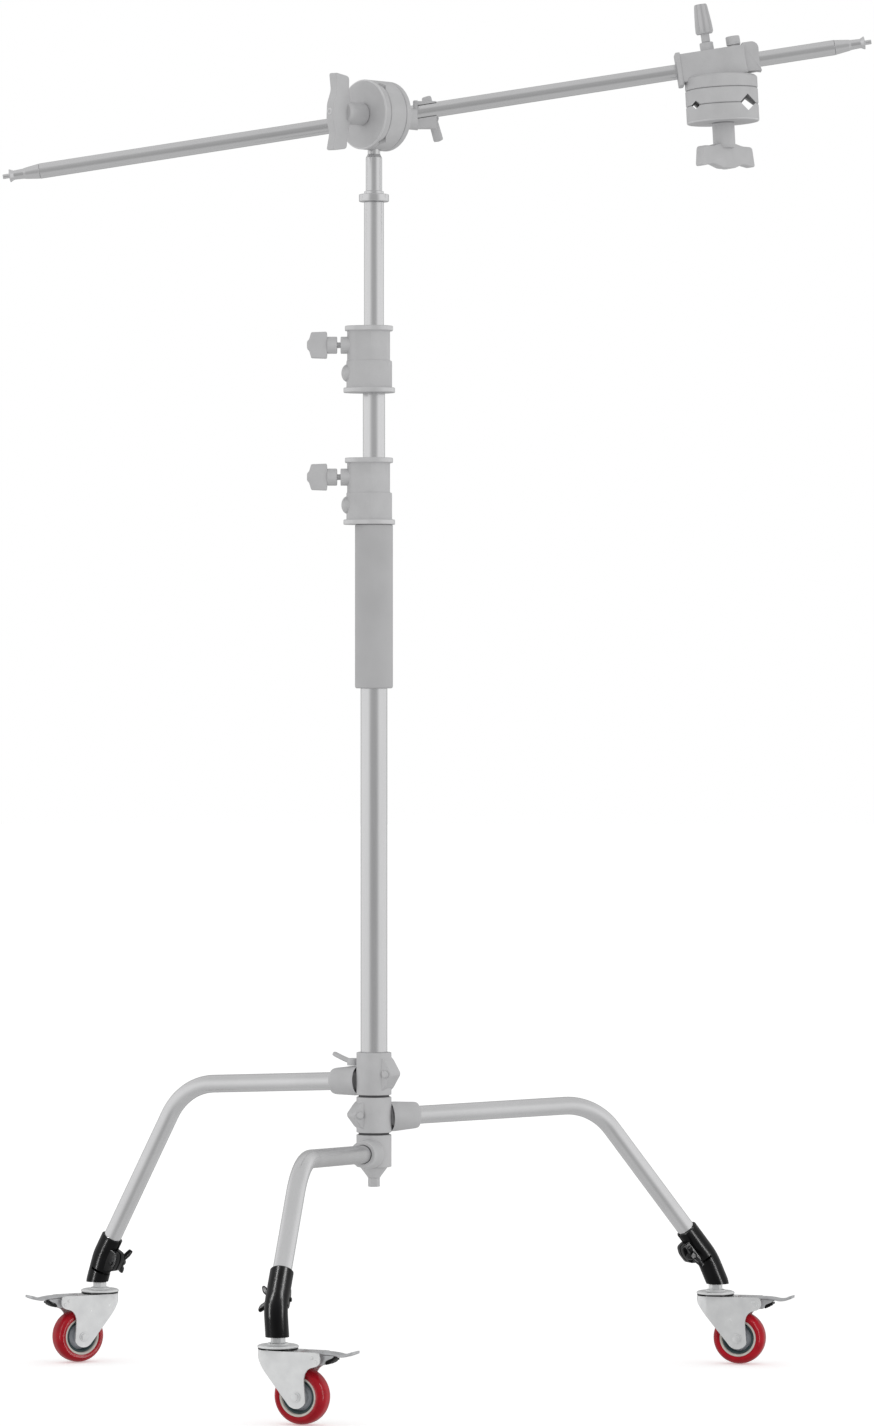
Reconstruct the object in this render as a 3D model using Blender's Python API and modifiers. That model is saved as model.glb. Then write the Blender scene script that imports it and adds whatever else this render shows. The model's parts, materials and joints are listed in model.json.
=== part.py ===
"""C stand on casters: a three-leg base, a column with two telescoping risers, a grip head on the
stud, a boom arm through the grip head and a second grip head on the arm.

Run it with: blender --background --python part.py
Lengths are in metres, +Z is up. Shapes are laid out round the column, whose axis is the local
origin; the empty "stand" then moves the whole object so that its box is centred on the origin.
"""

import math

import bmesh
import bpy
from mathutils import Matrix, Vector

# Whole object
COLUMN_AT = Vector((-0.0871, 0.1400, 0.0))
GAP = 0.0003                 # air left between two pieces that touch
CUT_PAST = 0.02              # how far a cutter runs past the wall it opens

# Column tubes: outer radius, wall
BASE_RADIUS, BASE_WALL = 0.0185, 0.0018
MIDDLE_RADIUS, MIDDLE_WALL = 0.0153, 0.0012
TOP_RADIUS, TOP_WALL = 0.0137, 0.0015
BASE_LOW, BASE_HIGH = 0.294, 1.222
MIDDLE_LOW, MIDDLE_HIGH = 0.420, 1.404
TOP_LOW = 0.590
TUBE_SIDES = 20

# Grip sleeve on the base tube
SLEEVE_LOW, SLEEVE_HIGH, SLEEVE_RADIUS = 0.954, 1.1795, 0.0262

# Collars: lowest point of each, and the shape they share
BASE_COLLAR_LOW, RISER_COLLAR_LOW = 1.180, 1.362
COLLAR_HEIGHT, COLLAR_STEP = 0.092, 0.044
COLLAR_RADIUS, COLLAR_STEP_RADIUS = 0.0222, 0.0250
COLLAR_RIM_HEIGHT, COLLAR_RIM_STANDS_OUT = 0.0068, 0.0040
COLLAR_BACK, COLLAR_BACK_RADIUS = 0.0185, 0.0185
KNOB_ABOVE_COLLAR_LOW = 0.0655
RIVET_ABOVE_COLLAR_LOW = 0.027

# Stud on the top riser
STUD_RADIUS, STUD_NECK_RADIUS = 0.0113, 0.0086
STUD_SHOULDER, STUD_TOP = 1.686, 1.7235
FLANGE_RADIUS, FLANGE_LOW, FLANGE_HIGH = 0.0207, 1.6255, 1.6357

# Leg hubs, from the bottom up
HUB_RADIUS = 0.0242
BOTTOM_HUB, MIDDLE_HUB, TOP_HUB = (0.294, 0.3385), (0.3415, 0.3905), (0.3935, 0.4520)
SOCKET_MOUTH, SOCKET_RADIUS_IN, SOCKET_RADIUS_OUT = 0.064, 0.0205, 0.0178
END_NUT = (0.2665, 0.2935)

# Legs: direction round the column, height and rise of the upper run, elbow and slope
LEG_RADIUS, LEG_WALL, LEG_BEND = 0.0125, 0.0016, 0.090
LEG_START, LEG_SIDES, BEND_STEPS = 0.029, 14, 5
LEGS = {
    "left": dict(turn=148.5, hub_z=0.4118, elbow=(0.3156, 0.3970), slope=29.1, top=0.1765,
                 end=0.152, stem=0.460, foot=0.005, heading=210),
    "right": dict(turn=23.5, hub_z=0.3626, elbow=(0.3344, 0.3715), slope=38.7, top=0.1915,
                  end=0.156, stem=0.525, foot=0.004, heading=-15),
    "front": dict(turn=-103.7, hub_z=0.3136, elbow=(0.3862, 0.3324), slope=35.1, top=0.1950,
                  end=0.158, stem=0.502, foot=0.004, heading=-25),
}

# Leg clamps at the casters
CLAMP_RADIUS, CLAMP_LOW, CLAMP_KNEE = 0.0155, 0.112, 0.150
EAR_DOWN, EAR_LENGTH, EAR_REACH, EAR_WIDTH = 0.030, 0.034, 0.0285, 0.020
CLAMP_SLIT, CLAMP_SLOT_DOWN, CLAMP_SLOT = 0.003, 0.052, 0.0035
CLAMP_BOLT_RADIUS, CLAMP_BOLT_OUT = 0.003, 0.0215

# Casters
WHEEL_RADIUS, WHEEL_WIDTH, WHEEL_SIDES = 0.0375, 0.030, 20
AXLE_HEIGHT = WHEEL_RADIUS * math.cos(math.pi / WHEEL_SIDES)
CASTER_TRAIL = 0.035
AXLE_RADIUS = 0.004
RACE_RADIUS, RACE_LOW, RACE_HIGH = 0.027, 0.0965, 0.1025
STEM_RADIUS, STEM_TOP = 0.0055, 0.127
FORK_TOP, FORK_INSIDE, FORK_OUTSIDE, FORK_SHEET = 0.0955, 0.0175, 0.0200, 0.0025
PEDAL_PIVOT = Vector((0.060, 0.0, 0.086))
PEDAL_WIDTH = 0.026

# Grip heads: spans run along the spindle, away from the handle; the boom's bore is at "bore"
HEAD_SIDES = 28
SPINDLE_RADIUS = 0.005
HANDLE_LENGTH, HANDLE_WIDTH, HANDLE_HUB_RADIUS = 0.107, 0.015, 0.0155
SCREW_RADIUS = 0.0045
MAIN_HEAD = dict(radius=0.0480, outer=(-0.0215, -0.0105), inner=(-0.0102, 0.0182),
                 disc=(0.0185, 0.0290), hub=(-0.0540, -0.0218), bar=(-0.0820, -0.0540),
                 bore=0.0968, grooves=((0, 0.028, 0.0068),))
ARM_HEAD = dict(radius=0.0505, outer=(-0.0291, -0.0057), inner=(-0.0054, 0.0167),
                disc=(0.0170, 0.0355), hub=(-0.0624, -0.0294), bar=(-0.0930, -0.0624),
                bore=0.0510, grooves=((90, -0.034, 0.0115), (90, 0.038, 0.0060)))
HEAD_Z, HEAD_TURN = 1.7446, 43.0
RECEIVER_LOW = Vector((0.0535, 0.0480, 1.7338))
RECEIVER_HIGH = Vector((0.0865, 0.0840, 1.7708))
OPEN_SIDE_FROM = Vector((0.0600, 0.0597, 0.0))   # the front of the block is open past this corner
LEVER_AT = Vector((0.0805, 0.0840, 1.7500))
LEVER_HALF, LEVER_TILT = 0.033, -16.0
CLAMP_BLOCK = (-0.061, 0.0555)   # ends of the second head's block along the boom
CLAMP_DOWN, CLAMP_UP, CLAMP_HALF = 0.0163, 0.0222, 0.019
KNOB_ALONG, BOLT_ALONG = -0.0145, 0.0228
ARM_HEAD_LEAN = 3.0          # how far the second head's spindle leans from upright

# Boom arm
BOOM_RADIUS, BOOM_WALL = 0.0106, 0.0018
BOOM_RISE, BOOM_Z = 8.84, 1.7574
BOOM_BACK, BOOM_FRONT = 0.595, 0.628
SPIGOT_REACH = 0.052
ARM_HEAD_X = 0.481           # where the second grip head's spindle meets the boom

UP = Vector((0, 0, 1))


def clear_scene():
    for obj in list(bpy.data.objects):
        bpy.data.objects.remove(obj, do_unlink=True)


def new_collection(name):
    made = bpy.data.collections.new(name)
    bpy.context.scene.collection.children.link(made)
    return made


def finish(name, colour, roughness, metallic):
    made = bpy.data.materials.new(name)
    made.use_nodes = True
    shader = made.node_tree.nodes["Principled BSDF"]
    shader.inputs["Base Color"].default_value = (*colour, 1)
    shader.inputs["Roughness"].default_value = roughness
    shader.inputs["Metallic"].default_value = metallic
    return made


def frame_on(origin, z_axis, x_hint):
    """A matrix at origin whose +Z runs along z_axis and whose +X leans towards x_hint."""
    z = Vector(z_axis).normalized()
    x = Vector(x_hint)
    x = (x - z * x.dot(z)).normalized()
    made = Matrix((x, z.cross(x), z)).transposed().to_4x4()
    made.translation = origin
    return made


def round_column(turn):
    """The level direction that leaves the column at this turn, in degrees."""
    angle = math.radians(turn)
    return Vector((math.cos(angle), math.sin(angle), 0))


def pivot(name, at):
    """The empty that a moving piece hangs on, placed on its joint's axis."""
    made = bpy.data.objects.new(name + "_pivot", None)
    made.location = at
    made.parent = STAND
    PARTS.objects.link(made)
    return made


def piece(name, mesh, matrix, hung_on, material):
    made = bpy.data.objects.new(name, mesh)
    PARTS.objects.link(made)
    mesh.materials.clear()
    mesh.materials.append(material)
    mesh.shade_smooth()
    mesh.set_sharp_from_angle(angle=math.radians(35))
    made.parent = hung_on
    offset = Vector((0, 0, 0)) if hung_on is STAND else -hung_on.location
    made.matrix_parent_inverse = Matrix.Translation(offset)
    made.matrix_basis = matrix
    return made


def tool(mesh, matrix):
    """A shape that only joins or cuts another one."""
    made = bpy.data.objects.new(mesh.name + "_tool", mesh)
    CUTTERS.objects.link(made)
    made.hide_render = True
    made.display_type = "WIRE"
    made.parent = STAND
    made.matrix_parent_inverse = Matrix()
    made.matrix_basis = matrix
    return made


def boolean(target, other, operation):
    made = target.modifiers.new(operation.lower(), "BOOLEAN")
    made.operation = operation
    made.object = other
    made.solver = "EXACT"


def join(target, *others):
    for other in others:
        boolean(target, other, "UNION")


def cut(target, *others):
    for other in others:
        boolean(target, other, "DIFFERENCE")


def finished_mesh(name, bm):
    bmesh.ops.recalc_face_normals(bm, faces=bm.faces)
    mesh = bpy.data.meshes.new(name)
    bm.to_mesh(mesh)
    bm.free()
    return mesh


def cylinder(name, radius, low, high, sides=TUBE_SIDES, high_radius=None):
    """A cylinder or cone along Z from low to high."""
    bm = bmesh.new()
    high_radius = radius if high_radius is None else high_radius
    bmesh.ops.create_cone(
        bm, cap_ends=True, segments=sides, radius1=radius, radius2=high_radius,
        depth=high - low, matrix=Matrix.Translation((0, 0, (low + high) / 2)),
    )
    return finished_mesh(name, bm)


def box(name, low, high):
    bm = bmesh.new()
    low, high = Vector(low), Vector(high)
    size = high - low
    scale = Matrix.Diagonal((*size, 1))
    bmesh.ops.create_cube(bm, size=1, matrix=Matrix.Translation((low + high) / 2) @ scale)
    return finished_mesh(name, bm)


def turned(name, profile, sides, matrix, hung_on, material, ring=False):
    """A turned piece: (radius, height) points down the outer side, closed into a ring or onto Z."""
    mesh = bpy.data.meshes.new(name)
    edges = [(i, i + 1) for i in range(len(profile) - 1)]
    if ring:
        edges.append((len(profile) - 1, 0))
    mesh.from_pydata([(radius, 0, height) for radius, height in profile], edges, [])
    made = piece(name, mesh, matrix, hung_on, material)
    screw = made.modifiers.new("turn", "SCREW")
    screw.axis = "Z"
    screw.steps = sides
    screw.render_steps = sides
    screw.use_merge_vertices = True
    screw.merge_threshold = 1e-5
    screw.use_smooth_shade = True
    return made


def tube_profile(outer, inner, low, high):
    return [(outer, high), (outer, low), (inner, low), (inner, high)]


def as_mesh(curve):
    """The mesh of a curve with its caps welded on."""
    obj = bpy.data.objects.new(curve.name + "_curve", curve)
    PARTS.objects.link(obj)
    graph = bpy.context.evaluated_depsgraph_get()
    mesh = bpy.data.meshes.new_from_object(obj.evaluated_get(graph))
    bpy.data.objects.remove(obj, do_unlink=True)
    mesh.name = curve.name
    bm = bmesh.new()
    bm.from_mesh(mesh)
    bmesh.ops.remove_doubles(bm, verts=bm.verts, dist=1e-6)
    bmesh.ops.recalc_face_normals(bm, faces=bm.faces)
    bm.to_mesh(mesh)
    bm.free()
    return mesh


def plate(name, outline, thickness):
    """A flat outline in X and Y, as thick as thickness along Z."""
    curve = bpy.data.curves.new(name, "CURVE")
    curve.dimensions = "2D"
    curve.fill_mode = "BOTH"
    curve.extrude = thickness / 2
    spline = curve.splines.new("POLY")
    spline.points.add(len(outline) - 1)
    for point, (x, y) in zip(spline.points, outline):
        point.co = (x, y, 0, 1)
    spline.use_cyclic_u = True
    return as_mesh(curve)


def stack(name, rings):
    """A body whose outline changes on the way up: (outline, height) pairs with equal point counts."""
    bm = bmesh.new()
    rows = [[bm.verts.new((x, y, height)) for x, y in outline] for outline, height in rings]
    count = len(rows[0])
    for lower, upper in zip(rows, rows[1:]):
        for i in range(count):
            j = (i + 1) % count
            bm.faces.new((lower[i], lower[j], upper[j], upper[i]))
    bm.faces.new(reversed(rows[0]))
    bm.faces.new(rows[-1])
    return finished_mesh(name, bm)


def pipe(name, points, radius, sides, capped, radii=None):
    """A round bar or an open skin along points."""
    curve = bpy.data.curves.new(name, "CURVE")
    curve.dimensions = "3D"
    curve.bevel_depth = radius
    curve.bevel_resolution = sides // 2 - 2
    curve.use_fill_caps = capped
    spline = curve.splines.new("POLY")
    spline.points.add(len(points) - 1)
    for number, point in enumerate(points):
        spline.points[number].co = (*point, 1)
        if radii:
            spline.points[number].radius = radii[number]
    return as_mesh(curve)


def arc(centre, radius, start, stop, steps):
    """Points round centre in a plane, from start to stop degrees."""
    angles = [math.radians(start + (stop - start) * i / steps) for i in range(steps + 1)]
    return [(centre[0] + radius * math.cos(a), centre[1] + radius * math.sin(a)) for a in angles]


def rounded_corner(before, corner, after, radius, steps):
    """An arc of this radius that joins two straight runs at their corner."""
    to_before = (before - corner).normalized()
    to_after = (after - corner).normalized()
    half = to_before.angle(to_after) / 2
    centre = corner + (to_before + to_after).normalized() * (radius / math.sin(half))
    first = corner + to_before * (radius / math.tan(half)) - centre
    last = corner + to_after * (radius / math.tan(half)) - centre
    return [centre + first.slerp(last, i / steps) * radius / first.slerp(last, i / steps).length
            for i in range(steps + 1)]


# Column ------------------------------------------------------------------------------------

def build_column():
    steel, alloy = FINISHES["tube"], FINISHES["casting"]
    inner = BASE_RADIUS - BASE_WALL
    turned("base_column", tube_profile(BASE_RADIUS, inner, BASE_LOW, BASE_HIGH), TUBE_SIDES,
           Matrix(), STAND, steel, ring=True)
    low, high, lip = SLEEVE_LOW, SLEEVE_HIGH, 0.003
    grip = [(SLEEVE_RADIUS, high), (SLEEVE_RADIUS, low + lip), (SLEEVE_RADIUS - lip, low),
            (BASE_RADIUS + GAP, low), (BASE_RADIUS + GAP, high)]
    turned("grip_sleeve", grip, TUBE_SIDES, Matrix(), STAND, FINISHES["grip"], ring=True)
    collar("base_collar", BASE_COLLAR_LOW, BASE_RADIUS, MIDDLE_RADIUS, STAND)
    knob("base_collar_knob", BASE_COLLAR_LOW + KNOB_ABOVE_COLLAR_LOW, MIDDLE_RADIUS)

    middle = pivot("middle_riser", (0, 0, MIDDLE_HIGH))
    inner = MIDDLE_RADIUS - MIDDLE_WALL
    turned("middle_riser", tube_profile(MIDDLE_RADIUS, inner, MIDDLE_LOW, MIDDLE_HIGH),
           TUBE_SIDES, Matrix(), middle, steel, ring=True)
    collar("riser_collar", RISER_COLLAR_LOW, MIDDLE_RADIUS, TOP_RADIUS, middle)
    knob("riser_collar_knob", RISER_COLLAR_LOW + KNOB_ABOVE_COLLAR_LOW, TOP_RADIUS)

    top = pivot("top_riser", (0, 0, FLANGE_LOW))
    inner = TOP_RADIUS - TOP_WALL
    turned("top_riser", tube_profile(TOP_RADIUS, inner, TOP_LOW, FLANGE_LOW - GAP), TUBE_SIDES,
           Matrix(), top, steel, ring=True)
    plug = inner - GAP
    stud = [(0, STUD_TOP), (STUD_NECK_RADIUS, STUD_TOP),
            (STUD_NECK_RADIUS, STUD_SHOULDER + 0.005), (STUD_RADIUS, STUD_SHOULDER),
            (STUD_RADIUS, FLANGE_HIGH + 0.004), (STUD_RADIUS + 0.002, FLANGE_HIGH + 0.004),
            (STUD_RADIUS + 0.002, FLANGE_HIGH), (FLANGE_RADIUS, FLANGE_HIGH),
            (FLANGE_RADIUS, FLANGE_LOW), (plug, FLANGE_LOW), (plug, FLANGE_LOW - 0.030),
            (0, FLANGE_LOW - 0.030)]
    turned("stud", stud, TUBE_SIDES, Matrix(), top, alloy)


def egg(radius, back, back_radius):
    """The outline of a collar: round at the tube and drawn out towards -X, where the knob is."""
    lean = math.degrees(math.acos((radius - back_radius) / back))
    outline = arc((0, 0), radius, lean - 180, 180 - lean, 12)
    return outline + arc((-back, 0), back_radius, 180 - lean, 180 + lean, 6)


def collar(name, low, lower_tube, upper_tube, hung_on):
    """A cast collar: fixed round the top of the lower tube, and a slide for the upper one."""
    high, step = low + COLLAR_HEIGHT, low + COLLAR_STEP
    rim, stands_out = COLLAR_RIM_HEIGHT, COLLAR_RIM_STANDS_OUT
    foot = egg(COLLAR_STEP_RADIUS + stands_out, COLLAR_BACK, COLLAR_BACK_RADIUS + 0.005)
    lower = egg(COLLAR_STEP_RADIUS, COLLAR_BACK, COLLAR_BACK_RADIUS + 0.001)
    upper = egg(COLLAR_RADIUS, COLLAR_BACK, COLLAR_BACK_RADIUS)
    crown = egg(COLLAR_RADIUS + stands_out, COLLAR_BACK, COLLAR_BACK_RADIUS + 0.003)
    rings = ((foot, low), (foot, low + rim), (lower, low + rim), (lower, step), (upper, step),
             (upper, high - rim), (crown, high - rim), (crown, high))
    made = piece(name, stack(name, rings), Matrix(), hung_on, FINISHES["casting"])
    back = COLLAR_BACK + COLLAR_BACK_RADIUS
    sideways = frame_on((0, 0, low + KNOB_ABOVE_COLLAR_LOW), (-1, 0, 0), UP)
    join(made, tool(cylinder("boss", 0.0118, back - 0.008, back + 0.009, 16), sideways))
    rivet_frame = frame_on((0, 0, low + RIVET_ABOVE_COLLAR_LOW), (-1, 0, 0), UP)
    rivet = cylinder("rivet", 0.0122, back - 0.008, back + 0.008, 16, 0.008)
    join(made, tool(rivet, rivet_frame))
    wide = cylinder("bore", lower_tube + GAP, low - CUT_PAST, step - 0.001)
    narrow = cylinder("bore", upper_tube + 2 * GAP, step - 0.003, high + CUT_PAST)
    screw_hole = cylinder("hole", SCREW_RADIUS + GAP, 0.005, back + CUT_PAST, 12)
    cut(made, tool(wide, Matrix()), tool(narrow, Matrix()), tool(screw_hole, sideways))


def knob(name, height, tube_radius):
    """A T-knob on its screw, which presses on the tube from the left."""
    hung_on = pivot(name, (-0.050, 0, height))
    sideways = frame_on((0, 0, height), (-1, 0, 0), UP)
    screw = piece(name, cylinder(name, SCREW_RADIUS, tube_radius + 2 * GAP, 0.056, 12),
                  sideways, hung_on, FINISHES["casting"])
    hub = cylinder("hub", 0.0118, 0.0510, 0.0650, 16)
    half, waist, depth = 0.0185, 0.013, 0.027
    outline = [(-half, 0), (-half, depth), (-waist * 0.5, depth + 0.002), (waist * 0.5, depth + 0.002),
               (half, depth), (half, 0)]
    head = plate("head", outline, 0.015)
    across = sideways @ Matrix.Translation((0, 0, 0.0640)) @ frame_on((0, 0, 0), (0, 1, 0), (1, 0, 0))
    flip = Matrix.Rotation(math.pi, 4, "X")
    join(screw, tool(hub, sideways), tool(head, across @ flip))


# Base --------------------------------------------------------------------------------------

def hub(name, span, leg, hung_on):
    """One leg hub: a ring on the column with a socket for its leg and a cast back."""
    low, high = span
    out = round_column(leg["turn"])
    made = piece(name, cylinder(name, HUB_RADIUS, low, high), Matrix(), hung_on,
                 FINISHES["casting"])
    start = Vector((0, 0, leg["hub_z"]))
    along = leg_points(leg)[0][1] - leg_points(leg)[0][0]
    socket_frame = frame_on(start + out * LEG_START, along, UP)
    reach = SOCKET_MOUTH - LEG_START
    socket = cylinder("socket", SOCKET_RADIUS_IN, -LEG_START * 0.7, reach, 20, SOCKET_RADIUS_OUT)
    middle, rise = (low + high) / 2, (high - low) * 0.42
    back = plate("back", [(-0.010, -rise), (0.024, -rise * 0.75), (0.036, 0), (0.024, rise * 0.75),
                          (-0.010, rise)], 0.026)
    side = out.cross(UP)
    back_frame = frame_on((0, 0, middle), side, -out)
    ring_bore = cylinder("bore", BASE_RADIUS + GAP, low - CUT_PAST, high + CUT_PAST)
    leg_bore = cylinder("bore", LEG_RADIUS + 0.0005, -0.0005, reach + CUT_PAST)
    trim = HUB_RADIUS + CUT_PAST * 4
    above = cylinder("trim", trim, high, high + CUT_PAST)
    below = cylinder("trim", trim, low - CUT_PAST, low)
    join(made, tool(socket, socket_frame), tool(back, back_frame))
    cut(made, tool(ring_bore, Matrix()), tool(leg_bore, socket_frame))
    cut(made, tool(above, Matrix()), tool(below, Matrix()))


def leg_points(leg):
    """The leg's line: the upper run, and the arc and slope that follow it."""
    out = round_column(leg["turn"])
    radius, height = leg["elbow"]
    elbow = out * radius + UP * height
    start = out * LEG_START + UP * leg["hub_z"]
    lean = math.radians(leg["slope"])
    down = out * math.sin(lean) - UP * math.cos(lean)
    end = elbow + down * ((height - leg["end"]) / math.cos(lean))
    bend = rounded_corner(start, elbow, end, LEG_BEND, BEND_STEPS)
    return [start, *bend[:1]], bend[1:], end, down


def build_leg(side, leg, hung_on):
    upper, bend, end, down = leg_points(leg)
    skin = pipe(f"{side}_leg", [*upper, *bend, end], LEG_RADIUS, LEG_SIDES, capped=False)
    made = piece(f"{side}_leg", skin, Matrix(), hung_on, FINISHES["tube"])
    wall = made.modifiers.new("wall", "SOLIDIFY")
    wall.thickness = LEG_WALL
    wall.offset = -1
    wall.use_even_offset = True
    build_clamp(side, leg, end, down, hung_on)


def build_clamp(side, leg, end, down, hung_on):
    """The clamp that joins a caster to the leg's end: a split sleeve with two ears."""
    out = round_column(leg["turn"])
    tangent = UP.cross(out)
    top = end - down * ((leg["top"] - end.z) / -down.z)
    knee = end + down * ((end.z - CLAMP_KNEE) / -down.z)
    foot = out * (leg["stem"] + leg["foot"]) + UP * CLAMP_LOW
    below = foot - UP * 0.012
    body = pipe("clamp", [top, knee, foot, below], CLAMP_RADIUS, 16, capped=True,
                radii=(1, 1, 0.97, 0.97))
    made = piece(f"{side}_leg_clamp", body, Matrix(), hung_on, FINISHES["black"])
    inward = (-out - down * (-out).dot(down)).normalized()
    ear_frame = frame_on(top + down * EAR_DOWN, tangent, inward)
    half = EAR_LENGTH / 2
    outline = [(0.008, -half), (EAR_REACH - 0.008, -half), (EAR_REACH, -half * 0.5),
               (EAR_REACH, half * 0.5), (EAR_REACH - 0.008, half), (0.008, half)]
    join(made, tool(plate("ears", outline, EAR_WIDTH), ear_frame))
    leg_frame = frame_on(top, down, inward)
    bore_length = (end - top).length + 0.0005
    slit = box("slit", (0, -CLAMP_SLIT / 2, -CUT_PAST),
               (EAR_REACH + CUT_PAST, CLAMP_SLIT / 2, CLAMP_SLOT_DOWN - CLAMP_SLOT / 2))
    slot = box("slot", (0, -CLAMP_RADIUS - CUT_PAST, CLAMP_SLOT_DOWN - CLAMP_SLOT),
               (EAR_REACH + CUT_PAST, CLAMP_RADIUS + CUT_PAST, CLAMP_SLOT_DOWN))
    ground = tool(box("ground", (-0.05, -0.05, -0.03), (0.05, 0.05, 0)), Matrix.Translation(foot))
    bore = cylinder("bore", LEG_RADIUS + 0.0005, -CUT_PAST, bore_length)
    bolt_hole = cylinder("hole", CLAMP_BOLT_RADIUS + GAP, -0.03, 0.03, 12)
    stem_at = Matrix.Translation(out * leg["stem"])
    stem_hole = cylinder("hole", STEM_RADIUS + GAP, CLAMP_LOW - CUT_PAST, STEM_TOP + 0.001, 16)
    bolt_frame = ear_frame @ Matrix.Translation((CLAMP_BOLT_OUT, 0, 0))
    cut(made, ground, tool(bore, leg_frame), tool(slit, leg_frame), tool(slot, leg_frame))
    cut(made, tool(bolt_hole, bolt_frame), tool(stem_hole, stem_at))
    wing_screw(f"{side}_clamp_screw", bolt_frame)


def wing_screw(name, matrix):
    """The screw across a clamp's ears, with its wing on the -Z side."""
    hung_on = pivot(name, matrix.translation)
    face = EAR_WIDTH / 2 + GAP
    made = piece(name, cylinder(name, CLAMP_BOLT_RADIUS, -face - 0.004, face + 0.003, 12),
                 matrix, hung_on, FINISHES["black"])
    boss = cylinder("boss", 0.0070, -face - 0.010, -face, 12)
    span, root = 0.019, 0.005
    outline = [(-span, 0.016), (-root, 0.0015), (root, 0.0015), (span, 0.016), (span - 0.003, 0.019),
               (root, 0.009), (-root, 0.009), (-span + 0.003, 0.019)]
    wings = plate("wings", outline, 0.007)
    away = matrix @ Matrix.Translation((0, 0, -face)) @ frame_on((0, 0, 0), (1, 0, 0), (0, 1, 0))
    join(made, tool(boss, matrix), tool(wings, away @ Matrix.Rotation(math.pi, 4, "X")))


def build_base():
    alloy = FINISHES["casting"]
    middle_leg = pivot("middle_leg", (0, 0, sum(MIDDLE_HUB) / 2))
    slider = pivot("leg_slider", (0, 0, TOP_HUB[0]))
    top_leg = pivot("top_leg", (0, 0, sum(TOP_HUB) / 2))
    hung = {"front": STAND, "right": middle_leg, "left": top_leg}
    hub("bottom_hub", BOTTOM_HUB, LEGS["front"], STAND)
    hub("middle_hub", MIDDLE_HUB, LEGS["right"], middle_leg)
    hub("top_hub", TOP_HUB, LEGS["left"], top_leg)
    for name, low, high, hung_on in (
            ("lower_washer", BOTTOM_HUB[1], MIDDLE_HUB[0], STAND),
            ("upper_washer", MIDDLE_HUB[1], TOP_HUB[0], slider)):
        ring = tube_profile(HUB_RADIUS - 0.003, BASE_RADIUS + GAP, low + GAP, high - GAP)
        turned(name, ring, TUBE_SIDES, Matrix(), hung_on, FINISHES["washer"], ring=True)
    low, high = END_NUT
    plug = BASE_RADIUS - BASE_WALL - GAP
    neck = [(0, BASE_LOW + 0.022), (plug, BASE_LOW + 0.022), (plug, high), (0.0185, high),
            (0.0185, high - 0.001), (0.0092, low + 0.014), (0.0082, low + 0.013),
            (0.0082, low), (0, low)]
    turned("column_end_nut", neck, 12, Matrix(), STAND, alloy)
    for side, leg in LEGS.items():
        build_leg(side, leg, hung[side])
        build_caster(side, leg, hung[side])
    build_leg_lever(LEGS["left"])


def build_leg_lever(leg):
    """The curved lever that locks the sliding leg, on top of its hub's socket."""
    out = round_column(leg["turn"])
    at = out * 0.035 + UP * (leg["hub_z"] + SOCKET_RADIUS_IN + 0.0005)
    hung_on = pivot("leg_lever", at)
    made = piece("leg_lever", cylinder("leg_lever", 0.0075, 0, 0.010, 16),
                 Matrix.Translation(at), hung_on, FINISHES["casting"])
    line = [at + UP * 0.005, at + out * 0.010 + UP * 0.008, at + out * 0.021 + UP * 0.014,
            at + out * 0.031 + UP * 0.0155]
    arm = pipe("lever_arm", line, 0.0042, 10, capped=True, radii=(1.0, 1.1, 0.95, 0.75))
    join(made, tool(arm, Matrix()))


def build_caster(side, leg, hung_on):
    """One caster: its stem stays with the leg, and the fork swivels below the race."""
    stem_at = round_column(leg["turn"]) * leg["stem"]
    heading = round_column(leg["heading"])
    frame = frame_on(stem_at, UP, heading)
    race = [(0, STEM_TOP), (STEM_RADIUS, STEM_TOP), (STEM_RADIUS, CLAMP_LOW - GAP),
            (0.0095, CLAMP_LOW - GAP), (0.0095, RACE_HIGH + 0.001), (0.016, RACE_HIGH),
            (RACE_RADIUS - 0.002, RACE_HIGH - 0.001), (RACE_RADIUS, RACE_LOW), (0, RACE_LOW)]
    turned(f"{side}_caster_stem", race, 20, frame, hung_on, FINISHES["zinc"])
    swivel = pivot(f"{side}_swivel", stem_at)
    build_fork(side, frame, swivel)
    build_pedal(side, frame)
    build_wheel(side, frame, swivel)


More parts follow.
